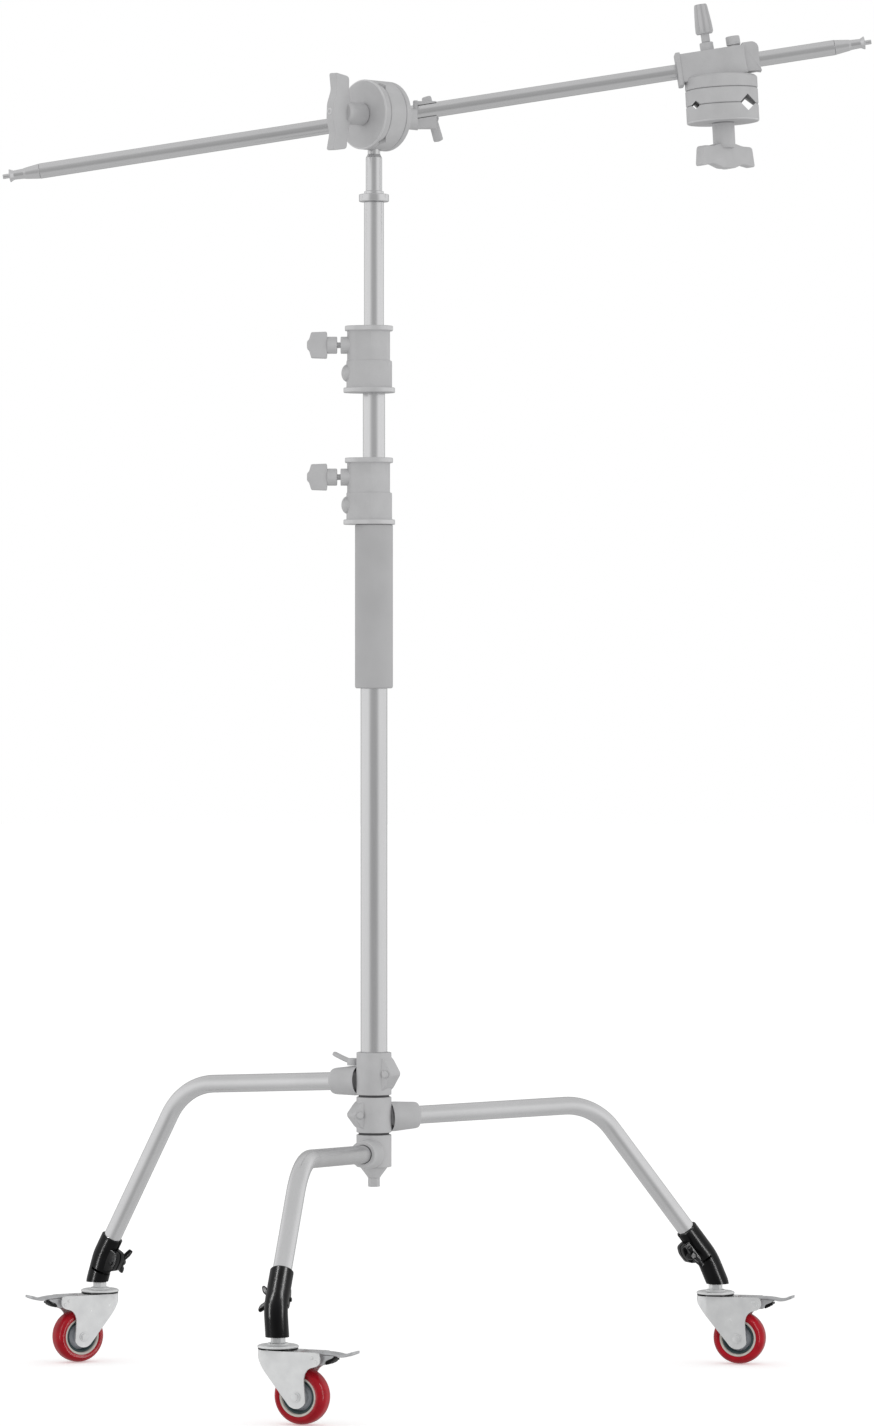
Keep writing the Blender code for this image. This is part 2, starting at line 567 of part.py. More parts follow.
def build_fork(side, frame, hung_on):
    """A pressed fork: its outline from the side, rounded at the front and open below."""
    axle = (CASTER_TRAIL, AXLE_HEIGHT)
    outline = [(-0.026, FORK_TOP), (-0.025, 0.087)]
    outline += arc(axle, 0.0150, 222, 335, 6)
    outline += [(0.0455, 0.060), (0.0480, 0.069), (0.0560, 0.0755), (0.0655, 0.078),
                (0.0700, 0.084), (0.0690, 0.092), (0.0640, FORK_TOP)]
    side_frame = frame @ frame_on((0, 0, 0), (0, -1, 0), (1, 0, 0))
    made = piece(f"{side}_fork", plate(f"{side}_fork", outline, 2 * FORK_OUTSIDE + 0.02),
                 side_frame, hung_on, FINISHES["zinc"])

    def plan(width, front):
        """The fork seen from above: a half circle at the front and straight cheeks behind it."""
        return arc((front + width, 0), width, 90, 270, 8) + [(0.090, -width), (0.090, width)]

    outer = plate("plan", plan(FORK_OUTSIDE, -0.0255), 0.30)
    inner = plate("plan", plan(FORK_INSIDE, -0.0230), 0.30)
    boolean(made, tool(outer, frame), "INTERSECT")
    cut(made, tool(inner, frame @ Matrix.Translation((0, 0, FORK_TOP - FORK_SHEET - 0.15))))
    slot = box("slot", (0.0285, -FORK_INSIDE, FORK_TOP - 0.02), (0.09, FORK_INSIDE, FORK_TOP + 0.02))
    hole = cylinder("hole", AXLE_RADIUS + GAP, -0.03, 0.03, 12)
    axle_frame = frame @ frame_on((CASTER_TRAIL, 0, AXLE_HEIGHT), (0, 1, 0), (1, 0, 0))
    cut(made, tool(slot, frame), tool(hole, axle_frame))


def build_pedal(side, frame):
    """The brake pedal: a pressed tread that turns on a pin between the fork's cheeks."""
    hung_on = pivot(f"{side}_pedal", frame @ PEDAL_PIVOT)
    outline = [(0.0330, 0.0895), (0.0330, 0.0925), (0.0700, 0.0945), (0.0880, 0.0935),
               (0.0960, 0.0905), (0.1030, 0.0925), (0.1110, 0.0990), (0.1130, 0.0965),
               (0.1050, 0.0890), (0.0965, 0.0865), (0.0860, 0.0885), (0.0745, 0.0860),
               (0.0720, 0.0790), (0.0640, 0.0785), (0.0560, 0.0830), (0.0520, 0.0885)]
    side_frame = frame @ frame_on((0, 0, 0), (0, -1, 0), (1, 0, 0))
    piece(f"{side}_brake_pedal", plate(f"{side}_pedal", outline, PEDAL_WIDTH), side_frame,
          hung_on, FINISHES["zinc"])


def build_wheel(side, frame, swivel):
    """Tyre and wheel on the axle bolt. One flat of the tyre's facets meets the floor."""
    at = frame @ Vector((CASTER_TRAIL, 0, AXLE_HEIGHT))
    hung_on = pivot(f"{side}_wheel", at)
    half_facet = Matrix.Rotation(math.pi / WHEEL_SIDES, 4, "Z")
    axle_frame = frame @ frame_on((CASTER_TRAIL, 0, AXLE_HEIGHT), (0, 1, 0), (0, 0, -1))
    radius, half, rim = WHEEL_RADIUS, WHEEL_WIDTH / 2, 0.0265
    tyre = [(rim, half - 0.002), (radius - 0.006, half - 0.001), (radius - 0.0015, half * 0.55),
            (radius, 0), (radius - 0.0015, -half * 0.55), (radius - 0.006, 0.001 - half),
            (rim, 0.002 - half)]
    turned(f"{side}_tyre", tyre, WHEEL_SIDES, axle_frame @ half_facet, hung_on,
           FINISHES["tyre"], ring=True)
    bore, web, shell = AXLE_RADIUS + GAP, 0.004, rim - GAP
    wheel = [(0.010, half), (0.010, web), (shell - 0.004, web), (shell, half - 0.003),
             (shell, 0.003 - half), (shell - 0.004, -web), (0.010, -web), (0.010, -half),
             (bore, -half), (bore, half)]
    turned(f"{side}_wheel", wheel, WHEEL_SIDES, axle_frame @ half_facet, hung_on,
           FINISHES["wheel"], ring=True)
    face = FORK_OUTSIDE + GAP
    bolt = [(0, face + 0.0045), (0.006, face + 0.0045), (0.0068, face + 0.003), (0.0068, face),
            (AXLE_RADIUS, face), (AXLE_RADIUS, -face), (0.0068, -face),
            (0.0068, -face - 0.003), (0.006, -face - 0.0045), (0, -face - 0.0045)]
    turned(f"{side}_axle", bolt, 12, axle_frame, swivel, FINISHES["zinc"])


# Grip heads and boom -----------------------------------------------------------------------

def v_grooves(matrix, height, grooves):
    """Square bars laid across a jaw's face on edge: (turn, distance, half diagonal) of each."""
    bars = []
    for turn, shift, half_diagonal in grooves:
        side = half_diagonal * math.sqrt(2)
        bar = box("groove", (-0.08, -side / 2, -side / 2), (0.08, side / 2, side / 2))
        place = (matrix @ Matrix.Rotation(math.radians(turn), 4, "Z")
                 @ Matrix.Translation((0, shift, height)) @ Matrix.Rotation(math.pi / 4, 4, "X"))
        bars.append(tool(bar, place))
    return bars


def disc(name, radius, span, matrix, hung_on):
    made = piece(name, cylinder(name, radius, *span, HEAD_SIDES), matrix, hung_on,
                 FINISHES["casting"])
    edge = made.modifiers.new("edge", "BEVEL")
    edge.width = 0.0015
    edge.limit_method = "ANGLE"
    edge.angle_limit = math.radians(60)
    return made


def jaws(prefix, head, matrix, hung_on):
    """The two facing jaw discs, grooved where they meet and bored for the spindle."""
    made = []
    for part, span in (("outer", head["outer"]), ("inner", head["inner"])):
        one = disc(f"{prefix}_{part}_jaw", head["radius"], span, matrix, hung_on)
        hole = cylinder("hole", SPINDLE_RADIUS + GAP, span[0] - CUT_PAST, span[1] + CUT_PAST, 16)
        bars = v_grooves(matrix, head["outer"][1], head["grooves"])
        cut(one, *bars, tool(hole, matrix))
        made.append(one)
    return made


def spindle(name, head, matrix, hung_on):
    low, high = head["bar"][0] + 0.012, head["disc"][1] - 0.006
    return piece(name, cylinder(name, SPINDLE_RADIUS, low, high, 16), matrix, hung_on,
                 FINISHES["zinc"])


def spindle_hole(head, matrix):
    low, high = head["disc"]
    return tool(cylinder("hole", SPINDLE_RADIUS + GAP, low - CUT_PAST, high - 0.005, 16), matrix)


def handle(name, head, matrix, bar_turn):
    """The T-handle on a spindle's free end: a hub and a waisted bar."""
    hung_on = pivot(name, matrix.translation)
    matrix = matrix @ Matrix.Rotation(math.radians(bar_turn), 4, "Z")
    made = piece(name, cylinder(name, HANDLE_HUB_RADIUS, *head["hub"], 20), matrix, hung_on,
                 FINISHES["casting"])
    half = HANDLE_LENGTH / 2
    low, high = head["bar"]
    outline = [(-half, low + 0.002), (-half + 0.004, high), (-0.016, high + 0.004),
               (0.016, high + 0.004), (half - 0.004, high), (half, low + 0.002),
               (half * 0.55, low + 0.006), (0.010, low), (-0.010, low), (-half * 0.55, low + 0.006)]
    bar = plate("bar", outline, HANDLE_WIDTH)
    across = matrix @ frame_on((0, 0, 0), (0, -1, 0), (1, 0, 0))
    hole = cylinder("hole", SPINDLE_RADIUS + GAP, low + 0.0115, high + CUT_PAST * 3, 16)
    join(made, tool(bar, across))
    cut(made, tool(hole, matrix))


def build_main_head():
    axis = round_column(HEAD_TURN)
    centre = Vector((0, 0, HEAD_Z))
    matrix = frame_on(centre, axis, UP)
    pan = pivot("head_pan", centre)
    tilt = pivot("head_tilt", centre)
    body = jaws("head", MAIN_HEAD, matrix, pan)[1]
    socket = cylinder("socket", STUD_NECK_RADIUS + GAP, HEAD_Z - MAIN_HEAD["radius"] - CUT_PAST,
                      STUD_TOP + 0.001)
    cut(body, tool(socket, Matrix()))
    spindle("head_spindle", MAIN_HEAD, matrix, tilt)
    handle("head_handle", MAIN_HEAD, matrix, 3)
    build_receiver(matrix, tilt)


def build_receiver(matrix, hung_on):
    """The main head's arm disc, with the block on its back that holds the boom."""
    made = disc("head_receiver", MAIN_HEAD["radius"], MAIN_HEAD["disc"], matrix, hung_on)
    neck = cylinder("neck", 0.0148, MAIN_HEAD["disc"][0] + 0.006, 0.087, 20)
    boss = cylinder("boss", 0.0060, -0.004, 0.0045, 16)
    boss_frame = frame_on(LEVER_AT, (0, 1, 0), UP)
    bore_frame = frame_on(boom_middle(), boom_axis(), UP)
    bore = cylinder("bore", BOOM_RADIUS + 2 * GAP, -0.10, 0.10)
    hole = cylinder("hole", SCREW_RADIUS - 0.001 + GAP, -0.018, CUT_PAST, 12)
    front = box("front", (OPEN_SIDE_FROM.x, 0, RECEIVER_LOW.z - CUT_PAST),
                (RECEIVER_HIGH.x + CUT_PAST, OPEN_SIDE_FROM.y, RECEIVER_HIGH.z + CUT_PAST))
    join(made, tool(neck, matrix), tool(box("block", RECEIVER_LOW, RECEIVER_HIGH), Matrix()),
         tool(boss, boss_frame))
    cut(made, spindle_hole(MAIN_HEAD, matrix), tool(bore, bore_frame), tool(hole, boss_frame),
        tool(front, Matrix()))
    build_lock_lever(boss_frame)


def build_lock_lever(matrix):
    """The curved lever behind the receiver; its screw presses on the boom."""
    hung_on = pivot("head_lock_lever", matrix.translation)
    tilted = matrix @ Matrix.Rotation(math.radians(LEVER_TILT), 4, "Z")
    tip = boom_middle().y + BOOM_RADIUS + 2 * GAP - LEVER_AT.y
    made = piece("head_lock_lever", cylinder("lever", SCREW_RADIUS - 0.001, tip, 0.009, 12),
                 tilted, hung_on, FINISHES["casting"])
    hub = cylinder("hub", 0.0090, 0.0050, 0.0150, 14)
    inner, outer, half = 0.0060, 0.0160, LEVER_HALF
    outline = [(-half, inner + 0.008), (-half * 0.5, inner + 0.002), (half * 0.5, inner + 0.002),
               (half, inner + 0.008), (half - 0.001, outer + 0.006), (half * 0.5, outer),
               (-half * 0.5, outer), (-half + 0.001, outer + 0.006)]
    bar = plate("bar", outline, 0.014)
    across = tilted @ frame_on((0, 0, 0), (0, -1, 0), (1, 0, 0))
    join(made, tool(hub, tilted), tool(bar, across))


def boom_axis():
    rise = math.radians(BOOM_RISE)
    return Vector((math.cos(rise), 0, math.sin(rise)))


def boom_middle():
    """The boom's centre where it passes behind the main head."""
    return round_column(HEAD_TURN) * MAIN_HEAD["bore"] + UP * BOOM_Z


def build_boom():
    hung_on = pivot("boom", boom_middle())
    matrix = frame_on(boom_middle(), boom_axis(), UP)
    low, high = SPIGOT_REACH - BOOM_BACK, BOOM_FRONT - SPIGOT_REACH
    inner = BOOM_RADIUS - BOOM_WALL
    turned("boom_tube", tube_profile(BOOM_RADIUS, inner, low, high), TUBE_SIDES, matrix,
           hung_on, FINISHES["tube"], ring=True)
    plug = inner - GAP
    reach = SPIGOT_REACH
    spigot = [(0, reach), (0.0032, reach), (0.0032, reach - 0.009), (0.0090, reach - 0.0105),
              (0.0060, reach - 0.0160), (0.0060, 0.016), (BOOM_RADIUS, GAP), (plug, GAP),
              (plug, -0.030), (0, -0.030)]
    ends = (("boom_spigot_right", matrix @ Matrix.Translation((0, 0, high))),
            ("boom_spigot_left", matrix @ Matrix.Translation((0, 0, low))
             @ Matrix.Rotation(math.pi, 4, "X")))
    for name, place in ends:
        turned(name, spigot, 16, place, hung_on, FINISHES["tube"])


def build_arm_head():
    along = boom_axis()
    on_boom = boom_middle() + along * ((ARM_HEAD_X - boom_middle().x) / along.x)
    lean = math.radians(ARM_HEAD_LEAN)
    upright = Vector((-math.sin(lean), 0, math.cos(lean)))
    matrix = frame_on(on_boom - upright * ARM_HEAD["bore"], upright, along)
    roll = pivot("arm_clamp", on_boom)
    turn = pivot("arm_jaws", matrix.translation)
    block_frame = frame_on(on_boom, UP - along * UP.dot(along), along)
    build_clamp_block(matrix, block_frame, roll)
    spindle("arm_spindle", ARM_HEAD, matrix, roll)
    jaws("arm", ARM_HEAD, matrix, turn)
    handle("arm_handle", ARM_HEAD, matrix, 44)


def build_clamp_block(matrix, frame, hung_on):
    """The second head's arm disc and block, with the bolt and the knob that close it."""
    made = disc("arm_clamp_block", ARM_HEAD["radius"], ARM_HEAD["disc"], matrix, hung_on)
    low, high = CLAMP_BLOCK
    body = box("block", (low + 0.004, -CLAMP_HALF, -CLAMP_DOWN - 0.001),
               (high - 0.020, CLAMP_HALF, CLAMP_UP))
    lip = box("lip", (low, -CLAMP_HALF - 0.002, -CLAMP_DOWN - 0.005),
              (low + 0.007, CLAMP_HALF + 0.002, CLAMP_UP + 0.0025))
    end = box("end", (high - 0.0220, -0.014, -CLAMP_DOWN + 0.0005), (high, 0.014, CLAMP_UP + 0.0030))
    neck = cylinder("neck", 0.018, ARM_HEAD["disc"][0] + 0.010, ARM_HEAD["bore"], 20)
    knob_frame = frame @ Matrix.Translation((KNOB_ALONG, 0, 0))
    bolt_frame = frame @ Matrix.Translation((BOLT_ALONG, 0, 0))
    boss = cylinder("boss", 0.0095, CLAMP_UP - 0.005, CLAMP_UP + 0.012, 16)
    seat = cylinder("seat", 0.0085, CLAMP_UP - 0.005, CLAMP_UP + 0.002, 16)
    bore = cylinder("bore", BOOM_RADIUS + 2 * GAP, -0.10, 0.10)
    knob_hole = cylinder("hole", SCREW_RADIUS + GAP, 0, 0.06, 12)
    bolt_hole = cylinder("hole", SCREW_RADIUS + GAP, CLAMP_UP - 0.006, 0.06, 12)
    bore_frame = frame @ frame_on((0, 0, 0), (1, 0, 0), (0, 0, 1))
    join(made, tool(neck, matrix), tool(body, frame), tool(lip, frame), tool(end, frame),
         tool(boss, knob_frame), tool(seat, bolt_frame))
    cut(made, tool(bore, bore_frame), tool(knob_hole, knob_frame), tool(bolt_hole, bolt_frame),
        spindle_hole(ARM_HEAD, matrix))
    bolt = piece("arm_clamp_bolt", cylinder("bolt", SCREW_RADIUS, CLAMP_UP - 0.0055, CLAMP_UP + 0.006, 12),
                 bolt_frame, hung_on, FINISHES["zinc"])
    head = cylinder("head", 0.0098, CLAMP_UP + 0.002 + GAP, CLAMP_UP + 0.015, 14)
    join(bolt, tool(head, bolt_frame))
    build_clamp_knob(knob_frame)


def build_clamp_knob(matrix):
    """The tapered knob whose screw presses on the boom."""
    hung_on = pivot("arm_clamp_knob", matrix.translation)
    tip = BOOM_RADIUS + 2 * GAP
    neck, low, high = CLAMP_UP + 0.012 + GAP, CLAMP_UP + 0.0235, CLAMP_UP + 0.0655
    made = piece("arm_clamp_knob", cylinder("knob", SCREW_RADIUS, tip, neck + 0.004, 12), matrix,
                 hung_on, FINISHES["casting"])
    stem = cylinder("stem", 0.0060, neck, low + 0.004, 14)
    grip = cylinder("grip", 0.0130, low, high, 14, 0.0095)
    join(made, tool(stem, matrix), tool(grip, matrix))


clear_scene()
PARTS = new_collection("c_stand")
CUTTERS = new_collection("cutters")
STAND = bpy.data.objects.new("stand", None)
STAND.location = COLUMN_AT
PARTS.objects.link(STAND)
FINISHES = {
    "tube": finish("satin steel tube", (0.62, 0.62, 0.63), 0.30, 1.0),
    "casting": finish("cast alloy", (0.42, 0.42, 0.43), 0.45, 0.8),
    "grip": finish("grey grip sleeve", (0.36, 0.36, 0.37), 0.75, 0.0),
    "washer": finish("black nylon", (0.03, 0.03, 0.03), 0.60, 0.0),
    "black": finish("black clamp", (0.012, 0.012, 0.012), 0.35, 0.0),
    "zinc": finish("bright zinc", (0.80, 0.80, 0.82), 0.22, 1.0),
    "tyre": finish("red urethane", (0.42, 0.015, 0.025), 0.25, 0.0),
    "wheel": finish("grey wheel", (0.30, 0.34, 0.34), 0.35, 0.0),
}
build_column()
build_base()
build_main_head()
build_boom()
build_arm_head()
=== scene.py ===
import json
import math

import bmesh
import bpy
import numpy as np
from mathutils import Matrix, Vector

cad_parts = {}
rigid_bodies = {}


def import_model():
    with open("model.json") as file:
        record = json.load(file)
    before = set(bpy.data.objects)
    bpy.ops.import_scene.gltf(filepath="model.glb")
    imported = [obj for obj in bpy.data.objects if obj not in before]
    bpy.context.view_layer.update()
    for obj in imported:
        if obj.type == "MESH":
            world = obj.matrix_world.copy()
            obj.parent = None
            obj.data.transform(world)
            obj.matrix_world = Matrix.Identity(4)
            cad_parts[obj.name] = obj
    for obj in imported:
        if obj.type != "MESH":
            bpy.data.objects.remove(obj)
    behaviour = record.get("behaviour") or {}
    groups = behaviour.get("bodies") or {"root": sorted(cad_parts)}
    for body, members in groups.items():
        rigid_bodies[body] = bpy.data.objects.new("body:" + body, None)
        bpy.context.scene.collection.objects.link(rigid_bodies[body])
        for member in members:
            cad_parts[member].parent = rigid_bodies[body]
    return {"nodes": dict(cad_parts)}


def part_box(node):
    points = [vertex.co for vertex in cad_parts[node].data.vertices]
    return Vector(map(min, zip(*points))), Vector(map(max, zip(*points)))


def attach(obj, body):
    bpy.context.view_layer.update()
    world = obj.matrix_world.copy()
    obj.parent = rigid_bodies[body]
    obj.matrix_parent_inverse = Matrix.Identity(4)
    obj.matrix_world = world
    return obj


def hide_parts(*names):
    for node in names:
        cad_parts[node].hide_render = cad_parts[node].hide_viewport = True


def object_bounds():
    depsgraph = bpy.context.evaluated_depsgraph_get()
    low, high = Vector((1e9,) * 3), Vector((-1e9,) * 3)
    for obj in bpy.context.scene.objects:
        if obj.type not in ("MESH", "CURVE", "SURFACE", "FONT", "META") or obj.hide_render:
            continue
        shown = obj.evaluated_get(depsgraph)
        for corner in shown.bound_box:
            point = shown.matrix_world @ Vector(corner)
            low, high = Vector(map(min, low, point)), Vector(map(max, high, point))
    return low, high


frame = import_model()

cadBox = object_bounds()
print("frame loaded:", len(frame["nodes"]), "nodes")

lowColumn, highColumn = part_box("base_column")
columnAt = np.array([(lowColumn.x + highColumn.x) / 2, (lowColumn.y + highColumn.y) / 2, 0.0])
up = np.array([0.0, 0.0, 1.0])
clearance = 0.0003


def unit(v):
    v = np.asarray(v, float)
    return v / np.linalg.norm(v)


def level(turn):
    # level direction at a turn in degrees, counted from +X
    a = math.radians(turn)
    return np.array([math.cos(a), math.sin(a), 0.0])


def seat(origin, zAxis, xHint):
    # a local frame: z along zAxis, x as near xHint as it can be
    z = unit(zAxis)
    x = np.asarray(xHint, float)
    x = unit(x - z * x.dot(z))
    return {"at": np.asarray(origin, float), "axes": np.array([x, np.cross(z, x), z])}


def shifted(place, x=0.0, y=0.0, z=0.0):
    return {"at": place["at"] + np.array([x, y, z]) @ place["axes"], "axes": place["axes"]}


def spun(place, degrees):
    # the same frame turned about its own z
    a = math.radians(degrees)
    turn = np.array([[math.cos(a), math.sin(a), 0], [-math.sin(a), math.cos(a), 0], [0, 0, 1]])
    return {"at": place["at"], "axes": turn @ place["axes"]}


def sideways(place):
    # x stays, the old z becomes the new y: for plates drawn from the side
    x, y, z = place["axes"]
    return {"at": place["at"], "axes": np.array([x, z, -y])}


def softened(points, reach, steps=3, closed=False):
    # every corner c with neighbours a and b becomes the curve (1-t)^2 A + 2t(1-t) c + t^2 B,
    # where A and B lie `reach` away from c towards each neighbour
    p = np.asarray(points, float)
    toBack, toNext = np.roll(p, 1, 0) - p, np.roll(p, -1, 0) - p
    backLong = np.linalg.norm(toBack, axis=1)[:, None]
    nextLong = np.linalg.norm(toNext, axis=1)[:, None]
    cut = np.minimum(np.broadcast_to(np.asarray(reach, float).reshape(-1, 1), backLong.shape),
                     0.46 * np.minimum(backLong, nextLong))
    a, b = p + toBack / backLong * cut, p + toNext / nextLong * cut
    t = np.linspace(0, 1, steps + 1)[None, :, None]
    curve = (1 - t) ** 2 * a[:, None] + 2 * t * (1 - t) * p[:, None] + t ** 2 * b[:, None]
    if closed:
        return curve.reshape(-1, p.shape[1])
    return np.vstack([p[:1], curve[1:-1].reshape(-1, p.shape[1]), p[-1:]])


def arcPoints(centre, radius, start, stop, count):
    # centre + radius * (cos a, sin a) for `count` angles from start to stop
    a = np.radians(np.linspace(start, stop, count))
    return np.stack([centre[0] + radius * np.cos(a), centre[1] + radius * np.sin(a)], -1)


# the surfaces below each give (points, faces)
def skin(grid, closedRows=False, caps=True):
    # rows of closed rings joined by four-sided faces; the first and last ring get a lid
    rows, cols = grid.shape[:2]
    i = np.arange(rows if closedRows else rows - 1)[:, None]
    j = np.arange(cols)[None, :]
    k, n = (j + 1) % cols, (i + 1) % rows
    faces = np.stack(np.broadcast_arrays(i * cols + j, i * cols + k, n * cols + k, n * cols + j), -1)
    faces = faces.reshape(-1, 4).tolist()
    if caps and not closedRows:
        faces += [list(range(cols))[::-1], list(range((rows - 1) * cols, rows * cols))]
    return grid.reshape(-1, 3), faces


def turnedSurface(profile, place, sides=64, soft=0.0004, ring=False, steps=3):
    # (r, h) of the profile carried round z: (r cos a, r sin a, h)
    p = softened(profile, soft, steps, closed=ring)
    a = np.arange(sides) * 2 * np.pi / sides
    r, h = p[:, 0][:, None], p[:, 1][:, None]
    grid = np.stack([r * np.cos(a), r * np.sin(a), h + 0 * a], -1)
    return skin(grid @ place["axes"] + place["at"], closedRows=ring, caps=False)


def tubeWall(outer, inner, low, high, place, sides=72, soft=0.0006):
    ringProfile = [(outer, high), (outer, low), (inner, low), (inner, high)]
    return turnedSurface(ringProfile, place, sides, soft, ring=True)


def slab(outline, thickness, place, edge=0.0008, steps=3):
    # a flat outline in x and y, moved in along its own normal near both faces by
    # edge * (1 - sin q) while the height runs edge * (1 - cos q), so that its rims are rounded
    o = np.asarray(outline, float)
    x, y = o[:, 0], o[:, 1]
    if np.sum(x * np.roll(y, -1) - np.roll(x, -1) * y) < 0:
        o = o[::-1]
    along = np.roll(o, -1, 0) - np.roll(o, 1, 0)
    along /= np.maximum(np.linalg.norm(along, axis=1)[:, None], 1e-12)
    outward = np.stack([along[:, 1], -along[:, 0]], -1)
    q = np.linspace(0, np.pi / 2, steps + 1)
    inset = np.concatenate([edge * (1 - np.sin(q)), edge * (1 - np.cos(q))])
    height = np.concatenate([-thickness / 2 + edge * (1 - np.cos(q)),
                             thickness / 2 - edge * (1 - np.sin(q))])
    flat = o[None] - outward[None] * inset[:, None, None]
    grid = np.concatenate([flat, np.broadcast_to(height[:, None, None], flat.shape[:2] + (1,))], -1)
    return skin(grid @ place["axes"] + place["at"])


def block(low, high, place, edge=0.001, corner=0.003):
    # a box from low to high with rounded corners in plan and rounded rims
    low, high = np.asarray(low, float), np.asarray(high, float)
    middle, half = (low + high) / 2, (high - low) / 2
    square = np.array([(-1, -1), (1, -1), (1, 1), (-1, 1)]) * half[:2]
    outline = softened(square, corner, 4, closed=True) + middle[:2]
    return slab(outline, half[2] * 2, shifted(place, z=middle[2]), edge)


def carried(path, across, wide, thick, sides=32, power=2.0, ends=0.0):
    # a section carried along a path that lies in a plane across `across`: point =
    # path + n * wide * sgn(cos a)|cos a|^(2/power) + across * thick * sgn(sin a)|sin a|^(2/power);
    # over the length `ends` the section shrinks as a quarter circle
    p = np.asarray(path, float)
    tangent = np.gradient(p, axis=0)
    tangent /= np.linalg.norm(tangent, axis=1)[:, None]
    across = unit(across)
    normal = np.cross(across, tangent)
    travelled = np.concatenate([[0], np.cumsum(np.linalg.norm(np.diff(p, axis=0), axis=1))])
    shrink = np.ones(len(p))
    if ends:
        near = np.clip(np.minimum(travelled, travelled[-1] - travelled) / ends, 0, 1)
        shrink = np.sqrt(np.maximum(1 - (1 - near) ** 2, 0.02))
    wide, thick = np.broadcast_to(wide, len(p)) * shrink, np.broadcast_to(thick, len(p)) * shrink
    a = np.arange(sides) * 2 * np.pi / sides
    c = np.sign(np.cos(a)) * np.abs(np.cos(a)) ** (2 / power)
    s = np.sign(np.sin(a)) * np.abs(np.sin(a)) ** (2 / power)
    grid = (p[:, None] + normal[:, None] * (wide[:, None] * c)[..., None]
            + across * (thick[:, None] * s)[..., None])
    return skin(grid)


def meshOf(name, surfaces):
    points = np.concatenate([s[0] for s in surfaces])
    starts = np.cumsum([0] + [len(s[0]) for s in surfaces[:-1]])
    faces = [[v + int(start) for v in f] for s, start in zip(surfaces, starts) for f in s[1]]
    mesh = bpy.data.meshes.new(name)
    mesh.from_pydata(points.tolist(), [], faces)
    bm = bmesh.new()
    bm.from_mesh(mesh)
    bmesh.ops.remove_doubles(bm, verts=bm.verts, dist=2e-7)
    bmesh.ops.recalc_face_normals(bm, faces=bm.faces)
    bm.to_mesh(mesh)
    bm.free()
    return mesh


def carve(mesh, steps):
    # each step is ("DIFFERENCE" or "INTERSECT" or "UNION", surface)
    worked = bpy.data.objects.new("worked", mesh)
    bpy.context.scene.collection.objects.link(worked)
    helpers = [worked]
    for number, (operation, surface) in enumerate(steps):
        other = bpy.data.objects.new("helper", meshOf("helper", [surface]))
        bpy.context.scene.collection.objects.link(other)
        helpers.append(other)
        made = worked.modifiers.new(f"step{number}", "BOOLEAN")
        made.operation, made.object, made.solver = operation, other, "EXACT"
    graph = bpy.context.evaluated_depsgraph_get()
    result = bpy.data.meshes.new_from_object(worked.evaluated_get(graph))
    for helper in helpers:
        bpy.data.objects.remove(helper, do_unlink=True)
    return result


def makePiece(name, surfaces, finish, body, replaced=(), carvedBy=(), rounding=0.0, angle=38):
    mesh = meshOf(name, surfaces)
    if carvedBy:
        mesh = carve(mesh, carvedBy)
        mesh.name = name
    material, slotName = finish
    mesh.materials.clear()
    mesh.materials.append(material)
    mesh.shade_smooth()
    mesh.set_sharp_from_angle(angle=math.radians(angle))
    made = bpy.data.objects.new(name, mesh)
    bpy.context.scene.collection.objects.link(made)
    if rounding:
        rim = made.modifiers.new("rim", "BEVEL")
        rim.width, rim.segments, rim.limit_method = rounding, 2, "ANGLE"
        rim.angle_limit = math.radians(40)
        rim.harden_normals = True
    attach(made, body)
    if replaced:
        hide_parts(*replaced)
    return made


def linearColour(hexCode):
    # sRGB hex to linear light
    c = np.array([int(hexCode[i:i + 2], 16) for i in (1, 3, 5)]) / 255
    c = np.where(c <= 0.04045, c / 12.92, ((c + 0.055) / 1.055) ** 2.4)
    return (*c.tolist(), 1.0)


def addNode(tree, kind, settings=None, values=None, links=None):
    node = tree.nodes.new(kind)
    for key, value in (settings or {}).items():
        setattr(node, key, value)
    for key, value in (values or {}).items():
        node.inputs[key].default_value = value
    for key, source in (links or {}).items():
        tree.links.new(source, node.inputs[key])
    return node


